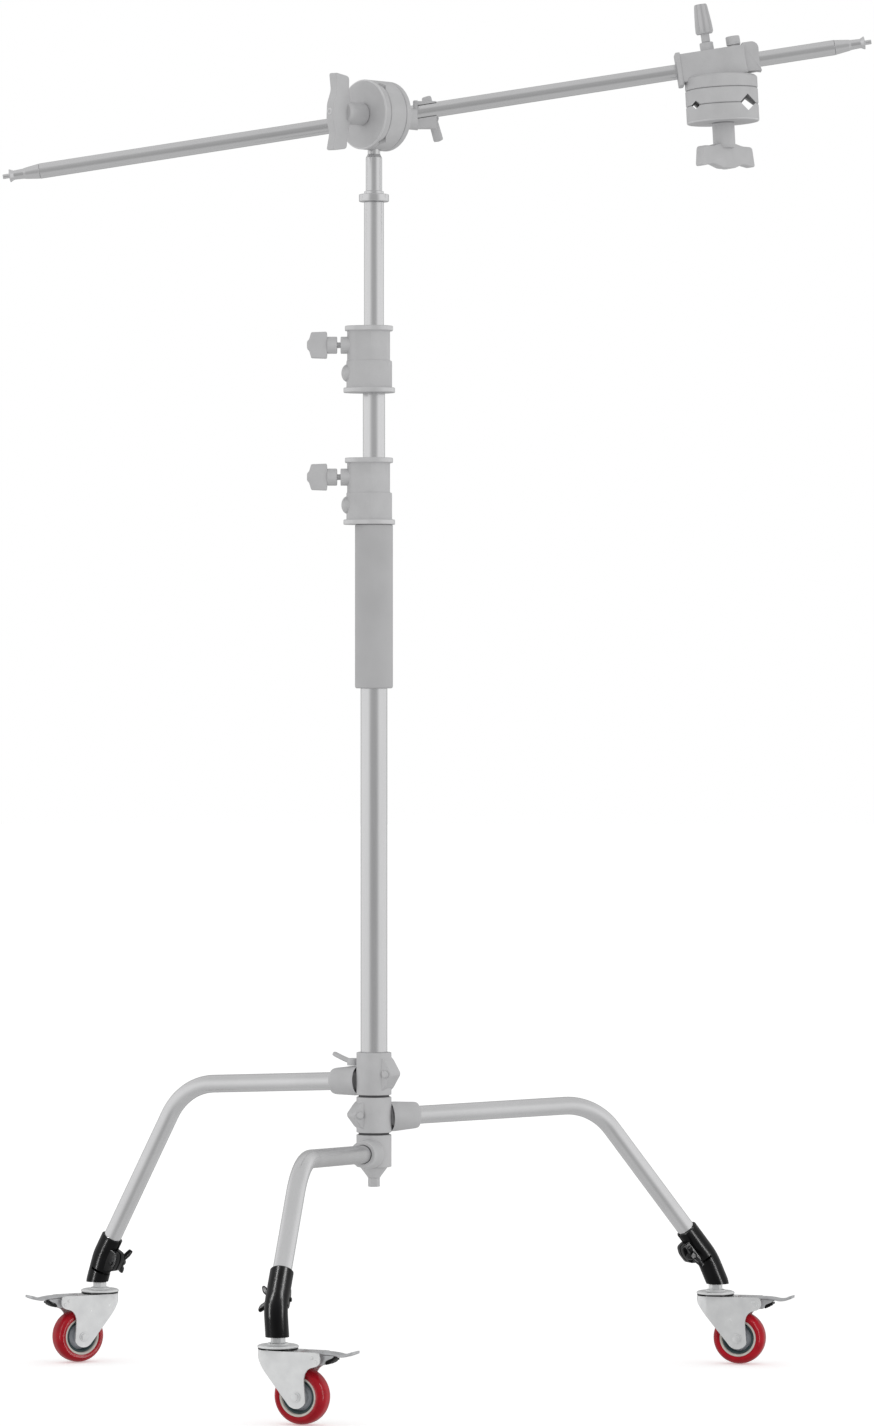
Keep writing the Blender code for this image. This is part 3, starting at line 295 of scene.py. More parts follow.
def mottled(name, look):
    # one shader whose colour, roughness and height wander over the surface: `grain` is the
    # size in metres of the fine pattern and `patch` that of the broad one
    made = bpy.data.materials.new(name)
    made.use_nodes = True
    tree = made.node_tree
    shader = tree.nodes["Principled BSDF"]
    for key, value in look["shader"].items():
        shader.inputs[key].default_value = value
    place = addNode(tree, "ShaderNodeTexCoord").outputs["Object"]
    if look.get("stretch"):
        place = addNode(tree, "ShaderNodeMapping", {}, {"Scale": look["stretch"]},
                        {"Vector": place}).outputs["Vector"]
    fine = addNode(tree, "ShaderNodeTexNoise", {}, {"Scale": 1 / look["grain"], "Detail": 4.0,
                                                    "Roughness": 0.6}, {"Vector": place})
    broad = addNode(tree, "ShaderNodeTexNoise", {}, {"Scale": 1 / look["patch"], "Detail": 2.0},
                    {"Vector": place})
    spread = addNode(tree, "ShaderNodeMath", {"operation": "MULTIPLY_ADD"}, {1: 0.45},
                     {0: fine.outputs["Fac"], 2: broad.outputs["Fac"]})
    tint = addNode(tree, "ShaderNodeValToRGB", links={"Fac": spread.outputs[0]})
    tint.color_ramp.elements[0].position, tint.color_ramp.elements[1].position = 0.40, 0.98
    tint.color_ramp.elements[0].color = linearColour(look["dark"])
    tint.color_ramp.elements[1].color = linearColour(look["light"])
    tree.links.new(tint.outputs["Color"], shader.inputs["Base Color"])
    low, high = look["rough"]
    gloss = addNode(tree, "ShaderNodeMapRange", {}, {"From Min": 0.35, "From Max": 1.0,
                                                     "To Min": low, "To Max": high},
                    {"Value": spread.outputs[0]})
    tree.links.new(gloss.outputs["Result"], shader.inputs["Roughness"])
    relief = addNode(tree, "ShaderNodeBump", {}, {"Strength": look["relief"], "Distance": 0.0002},
                     {"Height": fine.outputs["Fac"]})
    tree.links.new(relief.outputs["Normal"], shader.inputs["Normal"])
    return made


# chromed steel tube, drawn and satin polished: soft bright bands, very fine grain along it
satinChromeTube = mottled("satinChromeTube", {
    "shader": {"Metallic": 1.0}, "dark": "#D2D2D3", "light": "#DCDCDD", "grain": 0.0030,
    "patch": 0.06, "stretch": (1.0, 1.0, 0.10), "rough": (0.21, 0.27), "relief": 0.015})
satinChromeArm = mottled("satinChromeArm", {
    "shader": {"Metallic": 1.0}, "dark": "#D2D2D3", "light": "#DCDCDD", "grain": 0.0030,
    "patch": 0.06, "stretch": (0.10, 1.0, 1.0), "rough": (0.21, 0.27), "relief": 0.015})
# zinc alloy die casting, tumbled and lacquered: even pale grey, slight orange peel of 1.5 mm
tumbledZincCasting = mottled("tumbledZincCasting", {
    "shader": {"Metallic": 0.25, "Specular IOR Level": 0.35}, "dark": "#C2C2C3",
    "light": "#D0D0D1", "grain": 0.0015, "patch": 0.03, "rough": (0.42, 0.58), "relief": 0.12})
# soft vinyl sleeve, extruded: matt, with a dusty bloom
vinylGrip = mottled("vinylGrip", {
    "shader": {"Metallic": 0.0, "Specular IOR Level": 0.3}, "dark": "#BEBEBF",
    "light": "#C8C8C9", "grain": 0.0010, "patch": 0.05, "rough": (0.55, 0.72), "relief": 0.10})
# nylon spacer, moulded
mouldedNylon = mottled("mouldedNylon", {
    "shader": {"Metallic": 0.0}, "dark": "#4C4C4E", "light": "#5E5E60", "grain": 0.0008,
    "patch": 0.02, "rough": (0.5, 0.62), "relief": 0.08})
# black powder coat over steel, glossy with a 1 mm orange peel
glossBlackCoat = mottled("glossBlackCoat", {
    "shader": {"Metallic": 0.0, "Specular IOR Level": 0.14},
    "dark": "#030303", "light": "#070708", "grain": 0.0010, "patch": 0.02,
    "rough": (0.20, 0.27), "relief": 0.04})
# the same casting where a cutter has gone over its rims, with fine tool marks; its lighter colour is a
# painted highlight along the rims
machinedRimHighlight = mottled("machinedRimHighlight", {
    "shader": {"Metallic": 0.3}, "dark": "#D6D6D7", "light": "#E6E6E7", "grain": 0.0008,
    "patch": 0.02, "rough": (0.30, 0.42), "relief": 0.04})
# duller zinc of the thin pressed pedal
dullZincPlate = mottled("dullZincPlate", {
    "shader": {"Metallic": 0.45}, "dark": "#B2B3B5", "light": "#CFD0D2", "grain": 0.0008,
    "patch": 0.010, "rough": (0.24, 0.38), "relief": 0.10})
# bright zinc plate on pressed steel: almost white, faint rolling marks of 0.8 mm
brightZincPlate = mottled("brightZincPlate", {
    "shader": {"Metallic": 0.35}, "dark": "#E2E3E4", "light": "#F4F5F5", "grain": 0.0008,
    "patch": 0.015, "rough": (0.16, 0.28), "relief": 0.06})
# cast red urethane tread: glossy, slightly cloudy
redUrethane = mottled("redUrethane", {
    "shader": {"Metallic": 0.0, "Specular IOR Level": 0.14},
    "dark": "#840E18", "light": "#9E1421", "grain": 0.0020, "patch": 0.012,
    "rough": (0.14, 0.22), "relief": 0.03})
# moulded polypropylene rim parts
creamRim = mottled("creamRim", {
    "shader": {"Metallic": 0.0}, "dark": "#D2CBC2", "light": "#E6E0D8", "grain": 0.0010,
    "patch": 0.010, "rough": (0.35, 0.48), "relief": 0.05})
tealSeal = mottled("tealSeal", {
    "shader": {"Metallic": 0.0}, "dark": "#26393B", "light": "#3B5355", "grain": 0.0010,
    "patch": 0.010, "rough": (0.30, 0.45), "relief": 0.05})
paleHub = mottled("paleHub", {
    "shader": {"Metallic": 0.1}, "dark": "#B4B8C0", "light": "#CFD2D8", "grain": 0.0010,
    "patch": 0.010, "rough": (0.30, 0.42), "relief": 0.05})

tubeFinish = (satinChromeTube, "tube")
armFinish = (satinChromeArm, "tube")
castFinish = (tumbledZincCasting, "casting")
gripFinish = (vinylGrip, "grip")
washerFinish = (mouldedNylon, "washer")
blackFinish = (glossBlackCoat, "clamp_black")
zincFinish, pedalFinish = (brightZincPlate, "zinc"), (dullZincPlate, "zinc")
rimHighlightFinish = (machinedRimHighlight, "casting")
tyreFinish = (redUrethane, "tyre")
creamFinish, tealFinish, hubFinish = (creamRim, "wheel"), (tealSeal, "wheel"), (paleHub, "wheel")
print("materials made")

column = seat(columnAt, up, (1, 0, 0))


# column
tubes = {"base": (0.0185, 0.0167, 0.294, 1.222), "middle": (0.0153, 0.0141, 0.420, 1.404),
         "top": (0.0137, 0.0122, 0.590, 1.6252)}
makePiece("baseTube", [tubeWall(*tubes["base"], column)], tubeFinish, "base", ["base_column"])
makePiece("middleTube", [tubeWall(*tubes["middle"], column)], tubeFinish, "middle_riser",
          ["middle_riser"])
makePiece("topTube", [tubeWall(*tubes["top"], column)], tubeFinish, "top_riser", ["top_riser"])

gripProfile = [(0.0262, 1.1795), (0.0262, 0.954), (0.0188, 0.954), (0.0188, 1.1795)]
makePiece("columnGrip", [turnedSurface(gripProfile, column, 72, [0.0012, 0.0035, 0.0008, 0.0008],
                                       ring=True, steps=5)], gripFinish, "base", ["grip_sleeve"])

studProfile = [(0, 1.7235), (0.0080, 1.7235), (0.0086, 1.7228), (0.0086, 1.691), (0.0113, 1.6860),
               (0.0113, 1.6402), (0.0135, 1.6398), (0.0135, 1.6357), (0.0200, 1.6357),
               (0.0207, 1.6350), (0.0207, 1.6262), (0.0200, 1.6255), (0.0119, 1.6255),
               (0.0119, 1.5955), (0, 1.5955)]
makePiece("headStud", [turnedSurface(studProfile, column, 72, 0.0005)], tubeFinish, "top_riser",
          ["stud"])
print("column made")


# clamp collars and their knobs
collar = {"rise": 0.092, "step": 0.044, "rim": 0.0068, "radius": 0.0222, "lowRadius": 0.0250,
          "back": 0.0185, "backRadius": 0.0185, "knob": 0.0655, "rivet": 0.027}


def eggRing(extra, backExtra, height, count=96):
    # the outline that wraps two circles, one on the tube and a smaller one behind it: for a
    # normal at angle a the point is centre + radius * (cos a, sin a) of whichever is outermost
    a = np.arange(count) * 2 * np.pi / count
    big, small = collar["radius"] + extra, collar["backRadius"] + backExtra
    onBack = -np.cos(a) * collar["back"] + small > big
    r = np.where(onBack, small, big)
    x = np.where(onBack, -collar["back"], 0.0) + r * np.cos(a)
    return np.stack([x, r * np.sin(a), np.full(count, height)], -1)


def makeCollar(name, low, lowerTube, upperTube, body, node):
    high, step, rim = low + collar["rise"], low + collar["step"], collar["rim"]
    wider = collar["lowRadius"] - collar["radius"]
    rows = np.array([(wider + 0.0036, 0.0046, low), (wider + 0.004, 0.005, low + 0.0006),
                     (wider + 0.004, 0.005, low + rim - 0.0008), (wider + 0.0034, 0.0044, low + rim),
                     (wider + 0.0008, 0.0016, low + rim + 0.0003), (wider, 0.001, low + rim + 0.0012),
                     (wider, 0.001, step - 0.0014), (wider - 0.0006, 0.0007, step - 0.0003),
                     (0.0004, 0.0002, step + 0.0004), (0, 0, step + 0.0014),
                     (0, 0, high - rim - 0.0012), (0.0008, 0.0006, high - rim - 0.0003),
                     (0.0034, 0.0025, high - rim), (0.004, 0.003, high - rim + 0.0008),
                     (0.004, 0.003, high - 0.0006), (0.0036, 0.0026, high)])
    outer = np.stack([eggRing(*row) for row in rows])
    a = np.arange(outer.shape[1]) * 2 * np.pi / outer.shape[1]
    bores = [(upperTube + 0.0014, high), (upperTube + 0.0006, high - 0.0012),
             (upperTube + 0.0006, step - 0.001), (lowerTube + clearance, step - 0.001),
             (lowerTube + clearance, low)]
    inner = np.stack([np.stack([r * np.cos(a), r * np.sin(a), np.full(a.size, h)], -1)
                      for r, h in bores])
    grid = np.concatenate([outer, inner])
    casting = skin(grid @ column["axes"] + column["at"], closedRows=True)
    back = collar["back"] + collar["backRadius"]
    out = seat(columnAt + up * (low + collar["knob"]), (-1, 0, 0), up)
    bossProfile = [(0, back - 0.006), (0.0118, back - 0.006), (0.0118, back + 0.0085),
                   (0.0112, back + 0.009), (0.0052, back + 0.009), (0.0050, back + 0.006),
                   (0, back + 0.006)]
    down = seat(columnAt + up * (low + collar["rivet"]), (-1, 0, 0), up)
    domeTurn = np.linspace(0, np.pi / 2, 10)
    dome = np.stack([0.0122 * np.cos(domeTurn), back - 0.0005 + 0.0085 * np.sin(domeTurn)], -1)[::-1]
    domeProfile = np.vstack([dome, [(0.0122, back - 0.006)], [(0, back - 0.006)]])
    boss, rivet = turnedSurface(bossProfile[::-1], out, 48), turnedSurface(domeProfile, down, 48, 0.0001)
    makePiece(name, [casting, boss, rivet], castFinish, body, [node])
    # the machined faces of the two rims, 0.15 mm proud of the casting, in the lighter finish that paints a
    # highlight along each rim
    lips = []
    spans = ((0.004 + wider, 0.005, low, low + rim), (0.004, 0.003, high - rim, high))
    for proud, backProud, foot, head in spans:
        steps = [(-0.0006, foot + 0.0012), (0.00005, foot + 0.0009), (0.00015, foot + 0.0014),
                 (0.00015, head - 0.0014), (0.00005, head - 0.0009), (-0.0006, head - 0.0012)]
        grid = np.stack([eggRing(proud + more, backProud + more, height) for more, height in steps])
        lips.append(skin(grid @ column["axes"] + column["at"], closedRows=True))
    makePiece(name + "Rims", lips, rimHighlightFinish, body)


def makeKnob(name, height, tubeRadius, body, node):
    out = seat(columnAt + up * height, (-1, 0, 0), up)
    threads = np.arange(0, 14)
    tip = tubeRadius + 2 * clearance
    z = tip + 0.0008 + threads * 0.0022
    ridge = np.where(threads % 2 == 0, 0.0045, 0.0039)
    screw = np.vstack([[(0, tip)], [(0.0036, tip)], np.stack([ridge, z], -1), [(0.0040, 0.0520)],
                       [(0, 0.0520)]])
    hubProfile = [(0, 0.0508), (0.0108, 0.0508), (0.0118, 0.0516), (0.0118, 0.0636), (0.0112, 0.0644),
                  (0.0060, 0.0650), (0, 0.0650)]
    half, depth = 0.0184, 0.0268
    wing = [(-half, 0.0010), (-half * 0.96, depth * 0.84), (-half * 0.42, depth * 0.95),
            (-half * 0.26, depth + 0.0016), (half * 0.26, depth + 0.0016), (half * 0.42, depth * 0.95),
            (half * 0.96, depth * 0.84), (half, 0.0010), (half * 0.4, 0.0), (-half * 0.4, 0.0)]
    flat = sideways(shifted(out, z=0.0640))
    head = slab(softened(wing, 0.0018, 4, closed=True), 0.0148, flat, 0.0012, 4)
    makePiece(name, [turnedSurface(screw, out, 32, 0.0003), turnedSurface(hubProfile, out, 48), head],
              castFinish, body, [node])


makeCollar("baseCollar", 1.180, 0.0185, 0.0153, "base", "base_collar")
makeCollar("riserCollar", 1.362, 0.0153, 0.0137, "middle_riser", "riser_collar")
makeKnob("baseCollarKnob", 1.180 + collar["knob"], 0.0153, "base_collar_knob", "base_collar_knob")
makeKnob("riserCollarKnob", 1.362 + collar["knob"], 0.0137, "riser_collar_knob",
         "riser_collar_knob")
print("collars made")


# legs, hubs and caster clamps
legs = {
    "left": {"turn": 148.5, "hubZ": 0.4118, "elbow": (0.3156, 0.3970), "slope": 29.1,
             "top": 0.1765, "end": 0.152, "stem": 0.460, "foot": 0.005, "heading": 210,
             "body": "top_leg", "hub": ("topHub", "top_hub", 0.3935, 0.4520)},
    "right": {"turn": 23.5, "hubZ": 0.3626, "elbow": (0.3344, 0.3715), "slope": 38.7,
              "top": 0.1915, "end": 0.156, "stem": 0.525, "foot": 0.004, "heading": -15,
              "body": "middle_leg", "hub": ("middleHub", "middle_hub", 0.3415, 0.3905)},
    "front": {"turn": -103.7, "hubZ": 0.3136, "elbow": (0.3862, 0.3324), "slope": 35.1,
              "top": 0.1950, "end": 0.158, "stem": 0.502, "foot": 0.004, "heading": -25,
              "body": "base", "hub": ("bottomHub", "bottom_hub", 0.294, 0.3385)},
}
legTube = {"radius": 0.0125, "bend": 0.090, "start": 0.029}


def legLine(leg, count=24):
    # straight to the bend, an arc of the bend radius, and straight down the slope
    out = level(leg["turn"])
    start = out * legTube["start"] + up * leg["hubZ"]
    elbow = out * leg["elbow"][0] + up * leg["elbow"][1]
    lean = math.radians(leg["slope"])
    down = out * math.sin(lean) - up * math.cos(lean)
    end = elbow + down * ((leg["elbow"][1] - leg["end"]) / math.cos(lean))
    toStart, toEnd = unit(start - elbow), down
    half = math.acos(float(toStart @ toEnd)) / 2
    centre = elbow + unit(toStart + toEnd) * (legTube["bend"] / math.sin(half))
    first = unit(elbow + toStart * legTube["bend"] / math.tan(half) - centre)
    last = unit(elbow + toEnd * legTube["bend"] / math.tan(half) - centre)
    swing = math.acos(float(first @ last))
    t = np.linspace(0, 1, count)[:, None]
    sweep = (np.sin((1 - t) * swing) * first + np.sin(t * swing) * last) / math.sin(swing)
    arc = centre + legTube["bend"] * sweep
    straight = start + (arc[0] - start) * np.linspace(0, 1, 6)[:-1, None]
    slope = arc[-1] + (end - arc[-1]) * np.linspace(0, 1, 6)[1:, None]
    return np.vstack([straight, arc, slope]), out, down, start, end


def makeHub(leg, start, along, out):
    name, node, low, high = leg["hub"]
    barrel = [(0.0242, high - 0.0006), (0.0242, low + 0.0006), (0.0236, low), (0.0188, low),
              (0.0188, high), (0.0236, high)]
    surfaces = [turnedSurface(barrel, column, 80, 0.0004, ring=True)]
    socket = seat(columnAt + start, along, up)
    reach = 0.064 - legTube["start"]
    sleeve = [(0.0203, -0.006), (0.0205, 0.002), (0.0184, reach - 0.0035), (0.0176, reach),
              (0.0130, reach), (0.0130, -0.0005), (0, -0.0005), (0, -0.006)]
    surfaces.append(turnedSurface(sleeve, socket, 64, 0.0006))
    middle, rise = (low + high) / 2, (high - low) * 0.42
    side = np.cross(out, up)
    backSeat = seat(columnAt + up * middle, side, -out)
    outline = np.array([(0.019, -rise), (0.0245, -rise * 0.80), (0.0355, -0.002), (0.0355, 0.002),
                        (0.0245, rise * 0.80), (0.019, rise)])
    surfaces.append(slab(softened(outline, 0.0022, 4, closed=True), 0.0255, backSeat, 0.0016, 4))
    for hand in (1, -1):
        bolt = seat(columnAt - out * 0.0265 + up * middle + side * hand * 0.0127, side * hand, up)
        surfaces.append(turnedSurface([(0, 0.0034), (0.0038, 0.0034), (0.0052, 0.0024), (0.0054, 0),
                                       (0, -0.001)], bolt, 40, 0.0006))
    makePiece(name, surfaces, castFinish, leg["body"], [node])


def makeClamp(side, leg, end, down, out):
    top = end - down * ((leg["top"] - end[2]) / -down[2])
    knee = end + down * ((end[2] - 0.150) / -down[2])
    foot = out * (leg["stem"] + leg["foot"]) + up * 0.112
    corners = softened([top, top + (knee - top) * 0.5, knee, foot, foot - up * 0.010], 0.012, 5)
    tangent = np.cross(up, out)
    line = columnAt + corners
    line = np.vstack([line[0], line[0] + (line[1] - line[0]) * 0.06, line[1:]])
    radii = np.full(len(line), 0.0155)
    radii[0] = 0.0147
    shell = carried(line, tangent, radii, radii, 56)
    inward = unit(-out - down * float(-out @ down))
    earSeat = seat(columnAt + top + down * 0.030, tangent, inward)
    legSeat = seat(columnAt + top, down, inward)
    outline = [(0.006, -0.0175), (0.0185, -0.0165), (0.0282, -0.0095), (0.0284, 0.0060),
               (0.0240, 0.0165), (0.006, 0.0168)]
    ears = slab(softened(outline, 0.004, 5, closed=True), 0.0198, earSeat, 0.0012, 4)
    depth = float((end - top) @ down) + 0.0004
    socket = turnedSurface([(0, -0.02), (0.0130, -0.02), (0.0130, depth), (0, depth)], legSeat, 56, 0.0001)
    slit = block((0, -0.0014, -0.02), (0.05, 0.0014, 0.0503), legSeat, 0.0001, 0.0002)
    crossSlit = block((-0.001, -0.04, 0.0486), (0.05, 0.04, 0.0518), legSeat, 0.0001, 0.0002)
    belowStem = block((-0.05, -0.05, -0.05), (0.05, 0.05, 0.0), seat(columnAt + foot, up, out),
                      0.0001, 0.0002)
    carves = [("UNION", ears)] + [("DIFFERENCE", cutter) for cutter in (socket, slit, crossSlit, belowStem)]
    makePiece(f"{side}CasterClamp", [shell], blackFinish, leg["body"], [f"{side}_leg_clamp"],
              carves, rounding=0.0005)
    makeWingScrew(side, shifted(earSeat, x=0.0215))


def makeWingScrew(side, bolt):
    face = 0.0103
    surfaces = [turnedSurface([(0, face + 0.0026), (0.0026, face + 0.0026), (0.0030, face + 0.002),
                               (0.0030, -face - 0.004), (0, -face - 0.004)], bolt, 32, 0.0004),
                turnedSurface([(0, -face), (0.0072, -face), (0.0070, -face - 0.0035),
                               (0.0054, -face - 0.0098), (0.0040, -face - 0.0105), (0, -face - 0.0105)],
                              bolt, 40, 0.0008)]
    wing = [(0.003, -0.0022), (0.0100, -0.0058), (0.0170, -0.0135), (0.0188, -0.0162),
            (0.0182, -0.0186), (0.0160, -0.0190), (0.0100, -0.0172), (0.003, -0.0092)]
    flat = sideways(spun(shifted(bolt, z=-face), 90))
    for hand in (1, -1):
        outline = np.array(wing) * (hand, 1)
        surfaces.append(slab(softened(outline, 0.0018, 4, closed=True), 0.0066, flat, 0.0018, 4))
    makePiece(f"{side}ClampWing", surfaces, blackFinish, f"{side}_clamp_screw", [f"{side}_clamp_screw"])


for side, leg in legs.items():
    line, out, down, start, end = legLine(leg)
    tube = carried(columnAt + line, np.cross(up, out), legTube["radius"], legTube["radius"], 48)
    makePiece(f"{side}LegTube", [tube], armFinish if side != "front" else tubeFinish, leg["body"],
              [f"{side}_leg"])
    makeHub(leg, start, line[1] - line[0], out)
    makeClamp(side, leg, end, down, out)

for name, node, low, high, body in (("lowerSpacer", "lower_washer", 0.3388, 0.3412, "base"),
                                    ("upperSpacer", "upper_washer", 0.3908, 0.3932, "leg_slider")):
    makePiece(name, [tubeWall(0.0212, 0.0188, low, high, column, 64, 0.0003)], washerFinish, body, [node])

nutProfile = [(0, 0.316), (0.0164, 0.316), (0.0164, 0.2935), (0.0185, 0.2935), (0.0183, 0.2925),
              (0.0094, 0.2806), (0.0092, 0.2795), (0.0082, 0.2790)]
hexOutline = arcPoints((0, 0), 0.0082, 0, 300, 6)
makePiece("footNut", [turnedSurface(nutProfile + [(0, 0.2790)], column, 56),
                      slab(hexOutline, 0.0126, shifted(column, z=0.2728), 0.0008)],
          castFinish, "base", ["column_end_nut"])

leverSeat = columnAt + level(148.5) * 0.035 + up * (0.4175 + 0.0152)
s = np.linspace(0, 1, 22)[:, None]
leverOut = level(148.5)
leverLine = leverSeat + leverOut * (s * 0.032) + up * (0.0052 + 0.0112 * s ** 1.3)
leverHub = [(0, 0.0100), (0.0066, 0.0100), (0.0075, 0.0092), (0.0075, 0), (0, 0)]
makePiece("legLockLever", [turnedSurface(leverHub, seat(leverSeat, up, (1, 0, 0)), 40, 0.0006),
                           carried(leverLine, np.cross(leverOut, up), 0.0032, 0.0052 - 0.0012 * s[:, 0],
                                   28, 2.6, ends=0.004)], castFinish, "leg_lever", ["leg_lever"])
print("legs, hubs and clamps made")


# casters
caster = {"trail": 0.035, "wheel": 0.0375, "axle": float(0.0375 * math.cos(math.pi / 20)),
          "forkTop": 0.0955, "inside": 0.0175, "outside": 0.0200}


def makeStem(side, leg, place):
    race = [(0, 0.1035), (0.0095, 0.1035), (0.0098, 0.1026), (0.0150, 0.1024), (0.0235, 0.1020),
            (0.0262, 0.1010), (0.0270, 0.0998), (0.0268, 0.0985), (0.0252, 0.0976),
            (0.0240, 0.0975), (0.0240, 0.0966), (0, 0.0966)]
    pin = [(0, 0.127), (0.0050, 0.127), (0.0055, 0.1264), (0.0055, 0.1030), (0, 0.1030)]
    nut = slab(arcPoints((0, 0), 0.0098, 15, 315, 6), 0.0080, shifted(place, z=0.1076), 0.0007)
    collarRing = turnedSurface([(0.0128, 0.1042), (0.0140, 0.1034), (0.0140, 0.1018), (0.0050, 0.1018),
                                (0.0050, 0.1042)], place, 48, 0.0004, ring=True)
    makePiece(f"{side}CasterStem", [turnedSurface(race, place, 72, 0.0004),
                                    turnedSurface(pin, place, 32), nut, collarRing],
              zincFinish, leg["body"], [f"{side}_caster_stem"])
    # a thin black ring between race and fork top: painted shade standing in for the dark gap there
    seal = turnedSurface([(0.0262, 0.0976), (0.0262, 0.0961), (0.0225, 0.0958), (0.0225, 0.0976)], place, 72,
                         0.0003, ring=True)
    makePiece(f"{side}RaceGapShade", [seal], blackFinish, leg["body"])


def makeFork(side, place):
    # pressed sheet: the side outline cut to a U in plan, with the cheeks joined round the back
    axle = (caster["trail"], caster["axle"])
    outline = np.vstack([[(-0.0262, 0.0953), (-0.0268, 0.0930), (-0.0240, 0.0850)],
                         arcPoints(axle, 0.0150, 222, 335, 18),
                         [(0.0462, 0.060), (0.0480, 0.0680), (0.0520, 0.0732), (0.0560, 0.0755),
                          (0.0655, 0.078), (0.0700, 0.084), (0.0694, 0.0915), (0.0650, 0.0953)]])
    view = sideways(place)
    solid = slab(softened(outline, 0.003, 4, closed=True), 0.060, view, 0.0002, 1)
    wide, inner = caster["outside"], caster["inside"]
    outerPlan = np.vstack([arcPoints((-0.0265 + wide, 0), wide, 90, 270, 36), [(0.1, -wide), (0.1, wide)]])
    innerPlan = np.vstack([arcPoints((-0.0240 + inner, 0), inner, 90, 270, 36),
                           [(0.12, -inner), (0.12, inner)]])
    roomTop = caster["forkTop"] - 0.0028
    steps = [("INTERSECT", slab(outerPlan, 0.20, shifted(place, z=0.06), 0.0001, 1)),
             ("DIFFERENCE", slab(innerPlan, 0.20, shifted(place, z=roomTop - 0.10), 0.0016, 4)),
             ("DIFFERENCE", block((0.0285, -0.0150, 0.08), (0.10, 0.0150, 0.12), place, 0.0001, 0.002))]
    rivets = []
    for hand in (1, -1):
        for along, high in ((0.0585, 0.0888), (0.0648, 0.0838)):
            rivet = seat(place["at"] + np.array([along, 0.0199 * hand, high]) @ place["axes"],
                         place["axes"][1] * hand, up)
            rivets.append(turnedSurface([(0, 0.0011), (0.0014, 0.0011), (0.0024, 0.0003),
                                         (0.0024, -0.001), (0, -0.001)], rivet, 24, 0.0003))
    makePiece(f"{side}CasterFork", [solid], zincFinish, f"{side}_swivel", [f"{side}_fork"], steps,
              rounding=0.0009)
    makePiece(f"{side}ForkRivets", rivets, zincFinish, f"{side}_swivel")


def makePedal(side, place):
    # the tread's centre line is a smooth curve; its section is a thin rounded strip
    x = np.array([0.0335, 0.045, 0.060, 0.075, 0.086, 0.094, 0.101, 0.107, 0.1125])
    z = np.array([0.0915, 0.0925, 0.0937, 0.0940, 0.0930, 0.0914, 0.0922, 0.0942, 0.0964])
    t = np.linspace(0, 1, 70)
    px, pz = np.interp(t, np.linspace(0, 1, x.size), x), np.interp(t, np.linspace(0, 1, x.size), z)
    kernel = np.ones(7) / 7
    px[3:-3], pz[3:-3] = np.convolve(px, kernel, "valid"), np.convolve(pz, kernel, "valid")
    wide = np.interp(px, [0.033, 0.070, 0.090, 0.104, 0.1125], [0.0118, 0.0124, 0.0104, 0.0128, 0.0126])
    path = np.stack([px, 0 * px, pz], -1) @ place["axes"] + place["at"]
    tread = carried(path, place["axes"][1], 0.0018, wide, 36, 5.0, ends=0.0018)
    view = sideways(place)
    web = [(0.0520, 0.0925), (0.0560, 0.0830), (0.0640, 0.0788), (0.0715, 0.0790), (0.0745, 0.0850),
           (0.0830, 0.0885), (0.0860, 0.0915)]
    surfaces = [tread]
    for hand in (1, -1):
        surfaces.append(slab(softened(web, 0.002, 4, closed=True), 0.0018,
                             shifted(view, z=0.0108 * hand), 0.0005))
    for number in range(4):
        spot = np.array([0.1045 + number * 0.0022, 0, 0.0948 + number * 0.0007])
        ridge = seat(place["at"] + spot @ place["axes"], place["axes"][1], up)
        surfaces.append(turnedSurface([(0, 0.0115), (0.0009, 0.0112), (0.0009, -0.0112), (0, -0.0115)],
                                      ridge, 16, 0.0002))
    # the pad's lower edge is toothed
    padLine = [(0.0725, 0.0800), (0.0745, 0.0795), (0.0752, 0.0808), (0.0765, 0.0803), (0.0773, 0.0817),
               (0.0787, 0.0813), (0.0795, 0.0827), (0.0808, 0.0824), (0.0815, 0.0842), (0.0840, 0.0850),
               (0.0838, 0.0878), (0.0725, 0.0868)]
    pad = slab(softened(padLine, 0.0004, 2, closed=True), 0.0196, view, 0.0004, 2)
    makePiece(f"{side}BrakePedal", surfaces, pedalFinish, f"{side}_brake", [f"{side}_brake_pedal"])
    makePiece(f"{side}BrakePad", [pad], blackFinish, f"{side}_brake")


